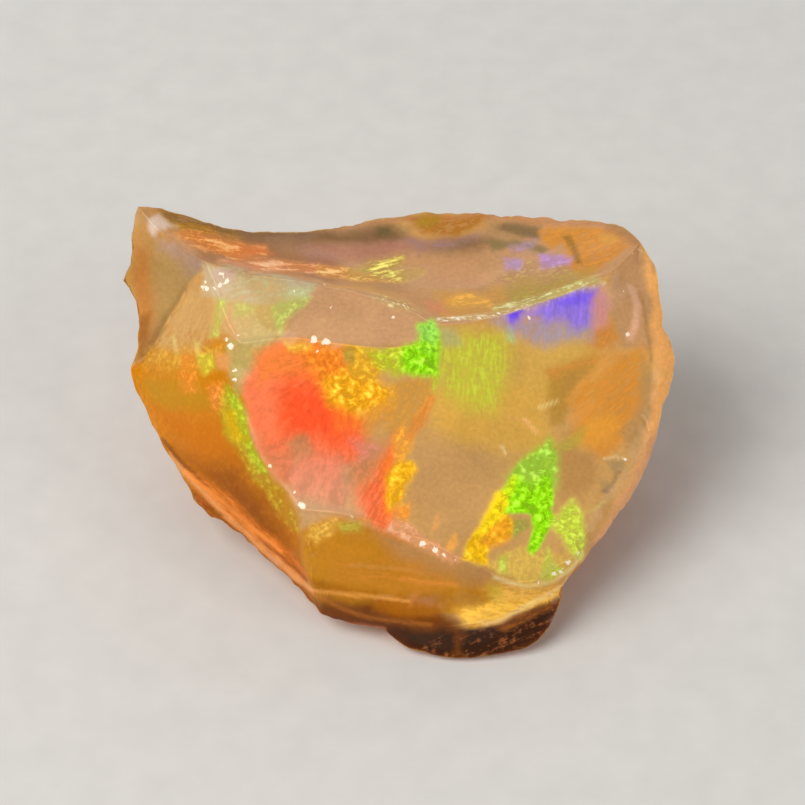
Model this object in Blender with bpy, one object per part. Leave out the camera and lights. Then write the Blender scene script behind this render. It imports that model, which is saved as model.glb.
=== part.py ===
"""Rough fire opal: one lump of precious opal, broken on every side by shell-like fractures.

The stone is a network of arrises, the sharp edges where two fractures meet, with one fracture face
spanned between each ring of arrises like a skin. A skin is dished where the break scooped the stone
out and crowned where it swelled, and carries the faint rings that spread from where it was struck.
Lengths in the tables are in millimetres: x to the right, y away from the front, z up from the flat
that the stone stands on.
"""

import math

import bmesh
import bpy
import numpy as np
from mathutils import Vector, noise
from mathutils.geometry import delaunay_2d_cdt

MM = 0.001
SPACING = 0.4  # of the points along an arris and across a fracture
EDGE_GAP = 0.24  # from an arris to the nearest point inside a fracture
CURVE_STEPS = 24  # between two points of a table, before the points are spaced out
CORE = Vector((0.0, 0.6, 4.6))  # the middle of the stone
CHIP_DEPTH = 0.13  # of the nicks along an arris
CHIP_LENGTH = 0.9
FINE_CHIP_LENGTH = 0.4
FINE_CHIP_SHARE = 0.6  # how deep the fine nicks are beside the others
CHIP_COVER = 0.15  # above 0, more than half of an arris is nicked
WAVE_DEPTH = 0.1  # of the slow swell of a fracture
WAVE_LENGTH = 3.4
WAVE_START = Vector((7.0, 3.0, 1.0))  # where the swell is read from
RING_DEPTH = 0.028  # of the rings round a strike
RING_START = 4.0  # how far out the rings are full
RING_GAP = 2.1  # from one ring to the next
RELIEF_REACH = 0.4  # the bulge, 1 at most, from which the swell and the rings are full

BODY_COLOUR = (0.72, 0.42, 0.17, 1.0)
BODY_ROUGHNESS = 0.2
OPAL_IOR = 1.45

# Where three or more fractures meet.
CORNERS = {
    "peak": (-9.65, 5.15, 10.6),
    "peak_back": (-8.9, 5.4, 10.3),
    "arris_top": (-9.1, 4.5, 10.25),
    "scoop_left": (-7.15, 3.2, 9.6),
    "crest_mid": (1.25, 1.05, 8.5),
    "crown_right": (8.75, 5.25, 8.7),
    "back_mid": (0.85, 7.5, 8.2),
    "back_right": (7.25, 6.75, 8.4),
    "cheek_top": (-5.9, 0.35, 8.2),
    "fork": (-3.65, -3.85, 4.0),
    "cheek_foot": (-3.3, -5.6, 1.85),
    "front_right": (6.2, -5.2, 3.0),
    "right_tip": (10.0, 1.5, 6.0),
    "heel": (5.85, -5.65, 1.9),
    "left_tip": (-10.05, 2.45, 4.9),
    "sliver_top": (-8.65, -0.1, 2.9),
    "sliver_foot": (-2.95, -6.05, 0.75),
    "brow_left": (-0.75, -6.65, 0.7),
    "rear_left": (-7.4, 5.6, 1.6),
    "rear_foot": (-1.2, 7.2, 1.2),
    "rear_right": (6.4, 5.9, 1.5),
    "flat_front_left": (-1.4, -5.2, 0.0),
    "flat_front_right": (4.2, -5.2, 0.0),
    "flat_rear_right": (4.2, 4.2, 0.0),
    "flat_rear_left": (-4.4, 3.6, 0.0),
}

# Each arris: the corner that it leaves, the points that it runs through, the corner that it reaches.
ARRISES = {
    "peak_edge": ["peak", "arris_top"],
    "scoop_edge": ["arris_top", (-8.15, 3.75, 9.9), "scoop_left"],
    "crest_left": [
        "scoop_left",
        (-5.65, 2.65, 9.5),
        (-4.4, 2.6, 9.4),
        (-3.05, 2.4, 9.2),
        (-1.5, 2.15, 9.05),
        (-0.15, 1.8, 8.85),
        "crest_mid",
    ],
    "crest_right": [
        "crest_mid",
        (2.3, 1.2, 8.45),
        (3.7, 1.7, 8.45),
        (4.95, 2.25, 8.5),
        (6.1, 2.75, 8.6),
        (7.2, 3.35, 8.7),
        (8.05, 4.1, 8.8),
        "crown_right",
    ],
    "rear_edge_peak": ["peak", "peak_back"],
    "rear_edge_left": [
        "peak_back",
        (-7.55, 5.8, 9.4),
        (-6.2, 6.1, 8.6),
        (-4.85, 6.5, 8.1),
        (-3.3, 6.8, 7.9),
        (-2.15, 7.05, 7.9),
        (-0.7, 7.35, 8.05),
        "back_mid",
    ],
    "rear_edge_right": [
        "back_mid",
        (2.4, 7.6, 8.1),
        (4.4, 7.55, 8.0),
        (5.8, 7.3, 8.1),
        "back_right",
    ],
    "rear_edge_crown": ["back_right", (8.2, 6.2, 8.6), "crown_right"],
    "bevel_left": ["scoop_left", (-6.6, 1.95, 8.8), "cheek_top"],
    "bevel_foot": [
        "cheek_top",
        (-4.1, 0.25, 8.55),
        (-2.6, 0.0, 8.6),
        (-1.25, -0.1, 8.5),
        (0.55, 0.15, 8.35),
        "crest_mid",
    ],
    "cheek_ridge": [
        "cheek_top",
        (-5.9, -0.35, 7.1),
        (-5.5, -1.1, 6.3),
        (-4.9, -2.2, 5.1),
        (-4.25, -3.0, 4.3),
        "fork",
    ],
    "cheek_ridge_foot": ["fork", (-3.35, -4.65, 3.0), "cheek_foot"],
    "front_ridge": [
        "fork",
        (-2.05, -4.35, 4.3),
        (-0.3, -5.0, 4.1),
        (0.65, -5.3, 3.9),
        (2.05, -5.75, 3.5),
        (3.25, -6.15, 3.05),
        (4.35, -6.25, 2.75),
        (5.3, -5.9, 2.8),
        "front_right",
    ],
    "rim_inner": [
        "crown_right",
        (8.75, 3.55, 7.9),
        (9.0, 1.35, 6.7),
        (9.0, 0.3, 5.9),
        (8.65, -0.7, 5.3),
        (7.95, -1.9, 4.5),
        (7.2, -3.0, 3.9),
        (6.7, -4.05, 3.3),
        "front_right",
    ],
    "rim_end": ["front_right", "heel"],
    "right_edge_top": [
        "crown_right",
        (9.3, 4.5, 8.2),
        (9.55, 3.6, 7.5),
        (9.6, 2.65, 6.9),
        (9.9, 2.1, 6.5),
        "right_tip",
    ],
    "right_edge_foot": [
        "right_tip",
        (9.8, 0.7, 5.5),
        (9.55, -0.3, 4.9),
        (9.2, -1.1, 4.3),
        (8.85, -1.75, 3.8),
        (8.15, -2.8, 3.1),
        (7.45, -3.65, 2.6),
        (6.6, -4.6, 2.0),
        "heel",
    ],
    "left_arris": ["scoop_left", (-8.25, 3.0, 7.5), (-9.25, 2.65, 5.7), "left_tip"],
    "left_edge": [
        "peak",
        (-9.8, 5.15, 10.2),
        (-9.95, 4.65, 9.4),
        (-10.0, 4.05, 8.5),
        (-10.35, 3.8, 8.0),
        (-10.0, 3.7, 7.6),
        (-9.8, 3.2, 6.7),
        (-9.8, 2.75, 5.6),
        "left_tip",
    ],
    "cheek_hem": ["left_tip", (-9.9, 1.9, 4.3), (-9.2, 0.7, 3.4), "sliver_top"],
    "sliver_upper": [
        "sliver_top",
        (-7.85, -0.95, 2.8),
        (-6.65, -1.95, 2.7),
        (-5.7, -2.8, 2.4),
        (-4.8, -3.7, 2.1),
        (-3.85, -4.6, 1.8),
        "cheek_foot",
    ],
    "sliver_lower": [
        "sliver_top",
        (-8.1, -0.95, 2.3),
        (-7.3, -2.0, 1.75),
        (-6.35, -2.65, 1.7),
        (-5.25, -3.65, 1.4),
        (-4.25, -4.55, 1.15),
        (-3.75, -5.1, 1.0),
        "sliver_foot",
    ],
    "sliver_end": ["cheek_foot", "sliver_foot"],
    "front_step": [
        "cheek_foot",
        (-1.25, -6.0, 2.0),
        (0.25, -6.15, 2.1),
        (1.85, -6.65, 2.1),
        (3.1, -6.85, 2.05),
        (4.4, -6.45, 2.0),
        "heel",
    ],
    "front_hem": ["sliver_foot", (-2.2, -6.35, 0.65), "brow_left"],
    "base_brow": [
        "brow_left",
        (0.6, -7.1, 0.95),
        (1.95, -7.2, 1.55),
        (3.0, -7.15, 1.7),
        (4.4, -6.55, 1.85),
        "heel",
    ],
    "base_rim": [
        "brow_left",
        (0.1, -7.2, 0.3),
        (1.25, -7.55, 0.2),
        (2.6, -7.6, 0.2),
        (3.95, -7.45, 0.25),
        (4.6, -7.25, 0.35),
        (5.2, -6.75, 0.7),
        (5.8, -5.85, 1.35),
        "heel",
    ],
    "left_hem": ["left_tip", (-9.6, 3.9, 3.4), "rear_left"],
    "rear_hem_left": ["rear_left", (-4.6, 6.5, 1.5), "rear_foot"],
    "rear_hem_right": ["rear_foot", (2.6, 7.4, 1.1), "rear_right"],
    "right_hem": ["right_tip", (9.4, 3.2, 3.3), "rear_right"],
    "rear_rib_left": ["peak_back", (-8.7, 5.9, 6.2), "rear_left"],
    "rear_rib_mid": ["back_mid", (0.3, 7.6, 4.8), "rear_foot"],
    "rear_rib_right": ["back_right", (7.7, 6.6, 4.9), "rear_right"],
    "under_front_left": ["sliver_foot", "flat_front_left"],
    "under_front_right": ["heel", "flat_front_right"],
    "under_rear_right": ["rear_right", "flat_rear_right"],
    "under_rear_left": ["rear_left", "flat_rear_left"],
    "flat_front": ["flat_front_left", (0.8, -6.5, 0.0), (3.0, -6.5, 0.0), "flat_front_right"],
    "flat_right": ["flat_front_right", (5.0, -2.0, 0.0), (5.2, 1.6, 0.0), "flat_rear_right"],
    "flat_rear": ["flat_rear_right", (1.5, 5.2, 0.0), (-2.4, 5.0, 0.0), "flat_rear_left"],
    "flat_left": ["flat_rear_left", (-5.2, 1.4, 0.0), (-4.3, -2.2, 0.0), "flat_front_left"],
}

# Each fracture: the ring of arrises round it, how deep it is dished (crowned where negative),
# and the corner that the rings of the break spread from.
FRACTURES = {
    "scoop": (
        ["peak_edge", "scoop_edge", "crest_left", "crest_right", "rear_edge_crown",
         "rear_edge_right", "rear_edge_left", "rear_edge_peak"],
        1.0,
        "back_mid",
    ),
    "crest_bevel": (["crest_left", "bevel_foot", "bevel_left"], 0.05, "scoop_left"),
    "front": (
        ["bevel_foot", "crest_right", "rim_inner", "front_ridge", "cheek_ridge"],
        0.2,
        "crest_mid",
    ),
    "cheek": (
        ["bevel_left", "cheek_ridge", "cheek_ridge_foot", "sliver_upper", "cheek_hem",
         "left_arris"],
        -0.35,
        "scoop_left",
    ),
    "left_face": (["peak_edge", "scoop_edge", "left_arris", "left_edge"], -0.05, "arris_top"),
    "rim": (["right_edge_top", "right_edge_foot", "rim_end", "rim_inner"], -0.1, "right_tip"),
    "front_bevel": (
        ["front_ridge", "rim_end", "front_step", "cheek_ridge_foot"],
        0.15,
        "front_right",
    ),
    "sliver": (["sliver_upper", "sliver_end", "sliver_lower"], 0.05, "sliver_top"),
    "lower_front": (
        ["front_step", "base_brow", "front_hem", "sliver_end"],
        -0.1,
        "cheek_foot",
    ),
    "foot": (["base_brow", "base_rim"], 0.2, "heel"),
    "under_front": (
        ["front_hem", "base_rim", "under_front_right", "flat_front", "under_front_left"],
        0.0,
        "heel",
    ),
    "under_left": (
        ["cheek_hem", "sliver_lower", "under_front_left", "flat_left", "under_rear_left",
         "left_hem"],
        0.3,
        "left_tip",
    ),
    "under_right": (
        ["right_edge_foot", "under_front_right", "flat_right", "under_rear_right",
         "right_hem"],
        0.3,
        "right_tip",
    ),
    "under_rear": (
        ["rear_hem_left", "rear_hem_right", "under_rear_right", "flat_rear",
         "under_rear_left"],
        0.1,
        "rear_foot",
    ),
    "rear_left": (
        ["rear_edge_peak", "left_edge", "left_hem", "rear_rib_left"],
        0.3,
        "peak_back",
    ),
    "rear_mid": (
        ["rear_edge_left", "rear_rib_mid", "rear_hem_left", "rear_rib_left"],
        0.55,
        "rear_foot",
    ),
    "rear_right": (
        ["rear_edge_right", "rear_rib_right", "rear_hem_right", "rear_rib_mid"],
        -0.3,
        "back_right",
    ),
    "right_face": (
        ["rear_edge_crown", "right_edge_top", "right_hem", "rear_rib_right"],
        0.35,
        "right_tip",
    ),
    "rest_flat": (["flat_front", "flat_right", "flat_rear", "flat_left"], 0.0, None),
}

# Small shells flaked out of the surface: the middle of each, how far it reaches, how deep it is.
FLAKES = [
    ((8.25, 2.7, 7.6), 1.0, 0.2),
    ((7.5, -2.4, 4.2), 1.0, 0.2),
    ((-5.95, 0.1, 7.7), 0.9, 0.16),
    ((1.0, -5.45, 3.85), 0.9, 0.16),
    ((5.7, -5.8, 2.8), 0.8, 0.14),
    ((-1.2, 1.9, 9.0), 0.8, 0.12),
    ((-6.8, 2.5, 9.1), 0.8, 0.12),
    ((4.2, -7.2, 1.0), 0.9, 0.2),
    ((9.4, -0.2, 5.2), 0.9, 0.2),
    ((-4.6, 7.2, 5.2), 2.3, 0.4),
    ((3.9, 7.6, 3.4), 1.9, 0.35),
    ((8.6, 5.0, 5.0), 2.0, 0.35),
    ((-7.0, 1.5, 2.2), 1.8, 0.3),
    ((7.0, -0.5, 2.2), 2.0, 0.35),
]


def clear_scene():
    for obj in list(bpy.data.objects):
        bpy.data.objects.remove(obj)


def place(stop):
    """A corner's name, or a point of its own, as a point."""
    return Vector(CORNERS[stop] if isinstance(stop, str) else stop)


def curve_through(stops):
    """Closely spaced points on a smooth curve through the stops."""
    run = [2 * stops[0] - stops[1], *stops, 2 * stops[-1] - stops[-2]]
    line = []
    for before, start, end, after in zip(run, run[1:], run[2:], run[3:]):
        for step in range(CURVE_STEPS):
            t = step / CURVE_STEPS
            line.append(
                0.5
                * (
                    2 * start
                    + (end - before) * t
                    + (2 * before - 5 * start + 4 * end - after) * t**2
                    + (3 * start - before - 3 * end + after) * t**3
                )
            )
    return [*line, stops[-1]]


def evenly_spaced(line):
    """The line again, as points about SPACING apart from its first end to its last."""
    lengths = [0.0]
    for one, other in zip(line, line[1:]):
        lengths.append(lengths[-1] + (other - one).length)
    count = max(1, round(lengths[-1] / SPACING))
    wanted = np.linspace(0.0, lengths[-1], count + 1)
    columns = [np.interp(wanted, lengths, [point[axis] for point in line]) for axis in range(3)]
    return [Vector(point) for point in zip(*columns)]


def chipped(line):
    """The line with nicks broken out of it, towards the middle of the stone."""
    edge = [line[0]]
    for point in line[1:-1]:
        nick = noise.noise(point / CHIP_LENGTH)
        nick += FINE_CHIP_SHARE * noise.noise(point / FINE_CHIP_LENGTH)
        inward = (CORE - point).normalized()
        edge.append(point + inward * CHIP_DEPTH * max(0.0, nick + CHIP_COVER))
    return [*edge, line[-1]]


def make_arris(name):
    line = evenly_spaced(curve_through([place(stop) for stop in ARRISES[name]]))
    return line if name.startswith(("flat_", "rear_rib_")) else chipped(line)


def ring_of(names, arrises):
    """The points round a fracture, once each, from the arrises named in order round it."""
    left = [list(arrises[name]) for name in names]
    ring = left.pop(0)
    if not any((line[end] - ring[-1]).length < 1e-6 for line in left for end in (0, -1)):
        ring.reverse()
    while left:
        for line in left:
            if (line[-1] - ring[-1]).length < 1e-6:
                line.reverse()
            if (line[0] - ring[-1]).length < 1e-6:
                ring += line[1:]
                left.remove(line)
                break
        else:
            raise ValueError(f"the arrises {names} make no ring")
    return ring[:-1]


def plane_of(ring):
    """Two directions in the ring's mean plane, and its normal out of the stone."""
    middle = sum(ring, Vector()) / len(ring)
    normal = Vector()
    for one, other in zip(ring, ring[1:] + ring[:1]):
        normal += (one - middle).cross(other - middle)
    normal.normalize()
    if normal.dot(middle - CORE) < 0:
        normal.negate()
    across = normal.orthogonal().normalized()
    return middle, across, normal.cross(across), normal


def inside(point, outline, margin):
    """True where a flat point lies in the outline, margin or more from it."""
    x, y = point
    ends = np.roll(outline, -1, axis=0)
    span = ends - outline
    share = ((point - outline) * span).sum(1) / np.maximum((span**2).sum(1), 1e-12)
    nearest = outline + np.clip(share, 0, 1)[:, None] * span
    if np.linalg.norm(point - nearest, axis=1).min() < margin:
        return False
    crosses = (outline[:, 1] > y) != (ends[:, 1] > y)
    at = outline[:, 0] + (y - outline[:, 1]) * span[:, 0] / np.where(crosses, span[:, 1], 1)
    return bool((crosses & (at > x)).sum() % 2)


def grid_within(outline):
    """Flat points in staggered rows that fill the outline, clear of its edge."""
    rise = SPACING * math.sqrt(3) / 2
    low, high = outline.min(0), outline.max(0)
    found = []
    for row in range(int((high[1] - low[1]) / rise) + 1):
        for column in range(int((high[0] - low[0]) / SPACING) + 1):
            spot = low + np.array([(column + row % 2 / 2) * SPACING, row * rise])
            if inside(spot, outline, EDGE_GAP):
                found.append(spot)
    return found


def skin_heights(count, edge_heights, triangles):
    """Heights of a skin stretched over the edge, and its bulge under even pressure, 1 at most."""
    fixed = len(edge_heights)
    free = count - fixed
    spread = np.zeros((count, count))
    for a, b, c in triangles:
        for one, other in ((a, b), (b, c), (c, a)):
            spread[one, other] = spread[other, one] = 1.0
    balance = np.diag(spread.sum(1)) - spread
    solved = np.zeros((count, 2))
    solved[:fixed, 0] = edge_heights
    if free:
        pull = np.stack([spread[fixed:, :fixed] @ edge_heights, np.ones(free)], axis=1)
        solved[fixed:] = np.linalg.solve(balance[fixed:, fixed:], pull)
        solved[:, 1] /= solved[:, 1].max()
    return solved[:, 0], solved[:, 1]


def relief(point, strike):
    """How far the break leaves the smooth skin at a point: a slow swell, and rings."""
    swell = WAVE_DEPTH * noise.noise(point / WAVE_LENGTH + WAVE_START)
    reach = (point - strike).length
    ring = math.sin(2 * math.pi * reach / RING_GAP) * min(1.0, reach / RING_START)
    return swell + RING_DEPTH * ring


def make_fracture(name, arrises):
    """Points and triangles of one fracture face."""
    names, dish, strike = FRACTURES[name]
    ring = ring_of(names, arrises)
    middle, across, along, normal = plane_of(ring)
    outline = np.array([[(p - middle).dot(across), (p - middle).dot(along)] for p in ring])
    spots = [*outline, *grid_within(outline)]
    edges = [(i, (i + 1) % len(ring)) for i in range(len(ring))]
    flat, _, triangles, *_ = delaunay_2d_cdt([Vector(s) for s in spots], edges, [], 1, 1e-6)
    if len(flat) != len(spots):
        raise ValueError(f"the fracture {name} folds over itself")
    edge_heights = [(p - middle).dot(normal) for p in ring]
    heights, bulge = skin_heights(len(flat), edge_heights, triangles)
    points = []
    for spot, height, pressed in zip(flat, heights, bulge):
        point = middle + across * spot.x + along * spot.y + normal * height
        if strike:
            away = relief(point, place(strike)) * min(1.0, pressed / RELIEF_REACH)
            point += normal * (away - dish * pressed)
        points.append(point)
    return [*ring, *points[len(ring):]], triangles


def flaked(point):
    """The point, sunk towards the middle of the stone where a flake is missing."""
    sunk = 0.0
    for middle, reach, depth in FLAKES:
        share = (point - Vector(middle)).length / reach
        sunk += depth * max(0.0, 1.0 - share**2) ** 1.5
    return point + (CORE - point).normalized() * sunk


def make_stone():
    arrises = {name: make_arris(name) for name in ARRISES}
    stone = bmesh.new()
    for name in FRACTURES:
        points, triangles = make_fracture(name, arrises)
        made = [stone.verts.new(flaked(point) * MM) for point in points]
        for corners in triangles:
            stone.faces.new([made[i] for i in corners])
    bmesh.ops.remove_doubles(stone, verts=stone.verts, dist=SPACING * MM / 1000)
    bmesh.ops.recalc_face_normals(stone, faces=stone.faces)
    mesh = bpy.data.meshes.new("rough_fire_opal")
    stone.to_mesh(mesh)
    stone.free()
    return mesh


def opal_material():
    """Amber precious opal: milky and see-through at once, glossy where it broke."""
    material = bpy.data.materials.new("precious_opal")
    material.use_nodes = True
    shader = material.node_tree.nodes["Principled BSDF"]
    shader.inputs["Base Color"].default_value = BODY_COLOUR
    shader.inputs["Roughness"].default_value = BODY_ROUGHNESS
    shader.inputs["Metallic"].default_value = 0.0
    shader.inputs["IOR"].default_value = OPAL_IOR
    material.diffuse_color = BODY_COLOUR
    return material


def main():
    clear_scene()
    mesh = make_stone()
    mesh.materials.append(opal_material())
    stone = bpy.data.objects.new("rough_fire_opal", mesh)
    bpy.context.scene.collection.objects.link(stone)
    low = [min(v.co[axis] for v in mesh.vertices) for axis in range(3)]
    high = [max(v.co[axis] for v in mesh.vertices) for axis in range(3)]
    stone.location = (-(low[0] + high[0]) / 2, -(low[1] + high[1]) / 2, -low[2])


main()
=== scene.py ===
import math

import bmesh
import bpy
import numpy as np
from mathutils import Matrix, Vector, noise


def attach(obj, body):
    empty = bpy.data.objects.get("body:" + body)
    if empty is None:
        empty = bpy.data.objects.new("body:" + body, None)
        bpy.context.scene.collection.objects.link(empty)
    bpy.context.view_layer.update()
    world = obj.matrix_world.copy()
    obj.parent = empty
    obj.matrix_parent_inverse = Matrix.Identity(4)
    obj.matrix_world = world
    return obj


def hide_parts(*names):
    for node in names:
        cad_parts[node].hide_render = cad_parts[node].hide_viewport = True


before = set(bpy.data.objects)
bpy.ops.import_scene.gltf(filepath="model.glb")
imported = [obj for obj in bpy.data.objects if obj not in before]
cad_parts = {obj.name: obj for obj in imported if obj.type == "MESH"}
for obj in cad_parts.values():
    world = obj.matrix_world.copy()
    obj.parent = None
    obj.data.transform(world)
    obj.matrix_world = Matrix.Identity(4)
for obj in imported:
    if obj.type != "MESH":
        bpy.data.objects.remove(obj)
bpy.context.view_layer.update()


# ---------------------------------------------------------------- the table and the light
# The stone stands on a pale matt board under soft studio light: one large softbox over the left
# shoulder, a long one behind that lies as a sheen on whatever faces up, and a weak one to the right.

MM = 0.001
STONE_MIDDLE = Vector((0.17, 0.54, 5.0)) * MM
BOARD_HALF = 600 * MM
BOARD_COLOUR = "#E4E0D9"
BOARD_ROUGHNESS = 0.85
BOARD_SHEEN = 0.25
FLECK_SIZE = 1.4  # mm across one fleck of the board's pulp
DARK_FLECK, PALE_FLECK = 0.97, 1.02
ROOM_COLOUR = "#E4E7EC"
ROOM_STRENGTH = 0.33
SOFTBOXES = {
    # name: where it hangs and its two sides, in mm, and its power in watts
    "softbox_shoulder": ((-150, -70, 190), (200, 200), 0.50),
    "softbox_behind": ((10, 150, 120), (170, 60), 0.035),
    "softbox_right": ((140, -70, 70), (80, 80), 0.05),
}


def colour(hex_value):
    """The linear colour, opaque, of an sRGB hex value such as #C87C14."""
    parts = [int(hex_value[i:i + 2], 16) / 255 for i in (1, 3, 5)]
    return (*[p / 12.92 if p < 0.04045 else ((p + 0.055) / 1.055) ** 2.4 for p in parts], 1.0)


def add(tree, kind, inputs=(), out=0, **settings):
    """Adds a node with its settings, feeds its inputs, and returns the output asked for."""
    node = tree.nodes.new(kind)
    for name, value in settings.items():
        setattr(node, name, value)
    for key, value in dict(inputs).items():
        if isinstance(value, bpy.types.NodeSocket):
            tree.links.new(value, node.inputs[key])
        else:
            node.inputs[key].default_value = value
    return node.outputs[out] if len(node.outputs) else node


# Uncoated pulp board: matt, a little warm, with faint flecks.
pulp_board = bpy.data.materials.new("pulp_board")
pulp_board.use_nodes = True
tree = pulp_board.node_tree
shader = tree.nodes["Principled BSDF"]
place = add(tree, "ShaderNodeTexCoord", out="Object")
flecks = add(tree, "ShaderNodeTexNoise", {"Vector": place, "Scale": 1 / (FLECK_SIZE * MM)})
tone = add(tree, "ShaderNodeMapRange", {0: flecks, 1: 0.3, 2: 0.7, 3: DARK_FLECK, 4: PALE_FLECK})
tinted = add(tree, "ShaderNodeVectorMath", {0: colour(BOARD_COLOUR)[:3], "Scale": tone},
             operation="SCALE")
tree.links.new(tinted, shader.inputs["Base Color"])
shader.inputs["Roughness"].default_value = BOARD_ROUGHNESS
shader.inputs["Specular IOR Level"].default_value = BOARD_SHEEN

board_mesh = bpy.data.meshes.new("board")
board_mesh.from_pydata(
    [(x * BOARD_HALF, y * BOARD_HALF, 0.0) for x, y in ((-1, -1), (1, -1), (1, 1), (-1, 1))],
    [],
    [(0, 1, 2, 3)],
)
board_mesh.materials.append(pulp_board)
board = bpy.data.objects.new("board", board_mesh)
bpy.context.scene.collection.objects.link(board)

for name, (spot, sides, watts) in SOFTBOXES.items():
    lamp = bpy.data.lights.new(name, "AREA")
    lamp.shape = "RECTANGLE"
    lamp.size, lamp.size_y = (side * MM for side in sides)
    lamp.energy = watts
    softbox = bpy.data.objects.new(name, lamp)
    softbox.location = Vector(spot) * MM
    softbox.rotation_euler = (STONE_MIDDLE - softbox.location).to_track_quat("-Z", "Y").to_euler()
    bpy.context.scene.collection.objects.link(softbox)

room = bpy.data.worlds.new("room")
room.use_nodes = True
room.node_tree.nodes["Background"].inputs["Color"].default_value = colour(ROOM_COLOUR)
room.node_tree.nodes["Background"].inputs["Strength"].default_value = ROOM_STRENGTH
bpy.context.scene.world = room


# ---------------------------------------------------------------- the camera
# A long lens, held in front of the stone and 45 degrees above the board, so the sloping front
# face is seen square on. Colours are shown as they are, with no film look.

CAMERA_RISE = math.radians(45)
CAMERA_DISTANCE = 120 * MM
NEAREST_SEEN = 5 * MM
PIXELS_PER_MM = 27.5  # at the middle of the stone
IMAGE_WIDTH = 805

lens = bpy.data.cameras.new("long_lens")
lens.lens = lens.sensor_width * PIXELS_PER_MM * (CAMERA_DISTANCE / MM) / IMAGE_WIDTH
lens.clip_start = NEAREST_SEEN
camera = bpy.data.objects.new("camera", lens)
uphill = Vector((0.0, math.sin(CAMERA_RISE), math.cos(CAMERA_RISE)))
towards_camera = Vector((0.0, -math.cos(CAMERA_RISE), math.sin(CAMERA_RISE)))
camera.location = STONE_MIDDLE + towards_camera * CAMERA_DISTANCE
camera.rotation_euler = (-towards_camera).to_track_quat("-Z", "Y").to_euler()
bpy.context.scene.collection.objects.link(camera)
bpy.context.scene.camera = camera
bpy.context.scene.view_settings.view_transform = "Standard"


# ---------------------------------------------------------------- the stone: how it broke
# One lump of precious opal. Opal is a glass of packed silica balls, so it breaks as glass does:
# smooth shells that meet in sharp arrises, nicked where they were knocked, with a few small pits.
# The solid's facets are rounded to smooth shells, and the arrises are kept and then nicked.

BREAK_SIZES = {
    # input of the tree: its value, in metres or radians
    "Round Below": math.radians(13),
    "Sharp Above": math.radians(40),
    "Arris Above": math.radians(26),
    "Arris Reach": 0.34 * MM,
    "Nick Size": 0.62 * MM,
    "Nick Depth": 0.13 * MM,
    "Nick Gaps": 2.6 * MM,
    "Fray Size": 0.26 * MM,
    "Fray Depth": 0.045 * MM,
    "Swell Size": 2.4 * MM,
    "Swell Depth": 0.05 * MM,
    "Pit Gaps": 2.9 * MM,
    "Pit Depth": 0.05 * MM,
    "Flat Height": 0.35 * MM,
    "Seed": 4.0,
}
MOST_CREASE = 0.95  # how sharp the sharpest arris is kept
NICK_FLOOR, NICK_EDGE = 0.1, 0.75  # where a nick's flat floor ends and where it runs out
RUN_ENDS, RUN_FULL = 0.42, 0.6  # how a run of nicks starts and ends
NICKS_BETWEEN_RUNS = 0.15  # how deep they are there, as a share of those in a run
PIT_EDGE = 0.16  # how much of the gap between two pits one pit takes up
LOOSE_CORNERS = 0.002 * MM  # corners this near to each other are one
FLAT_WITHIN = 0.001 * MM  # how level the underside's faces lie
PAIR_FOLD = math.radians(18)  # the most that two triangles fold where they are paired
PAIR_SKEW = math.radians(60)
CRISP_FOLD = math.radians(30)


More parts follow.
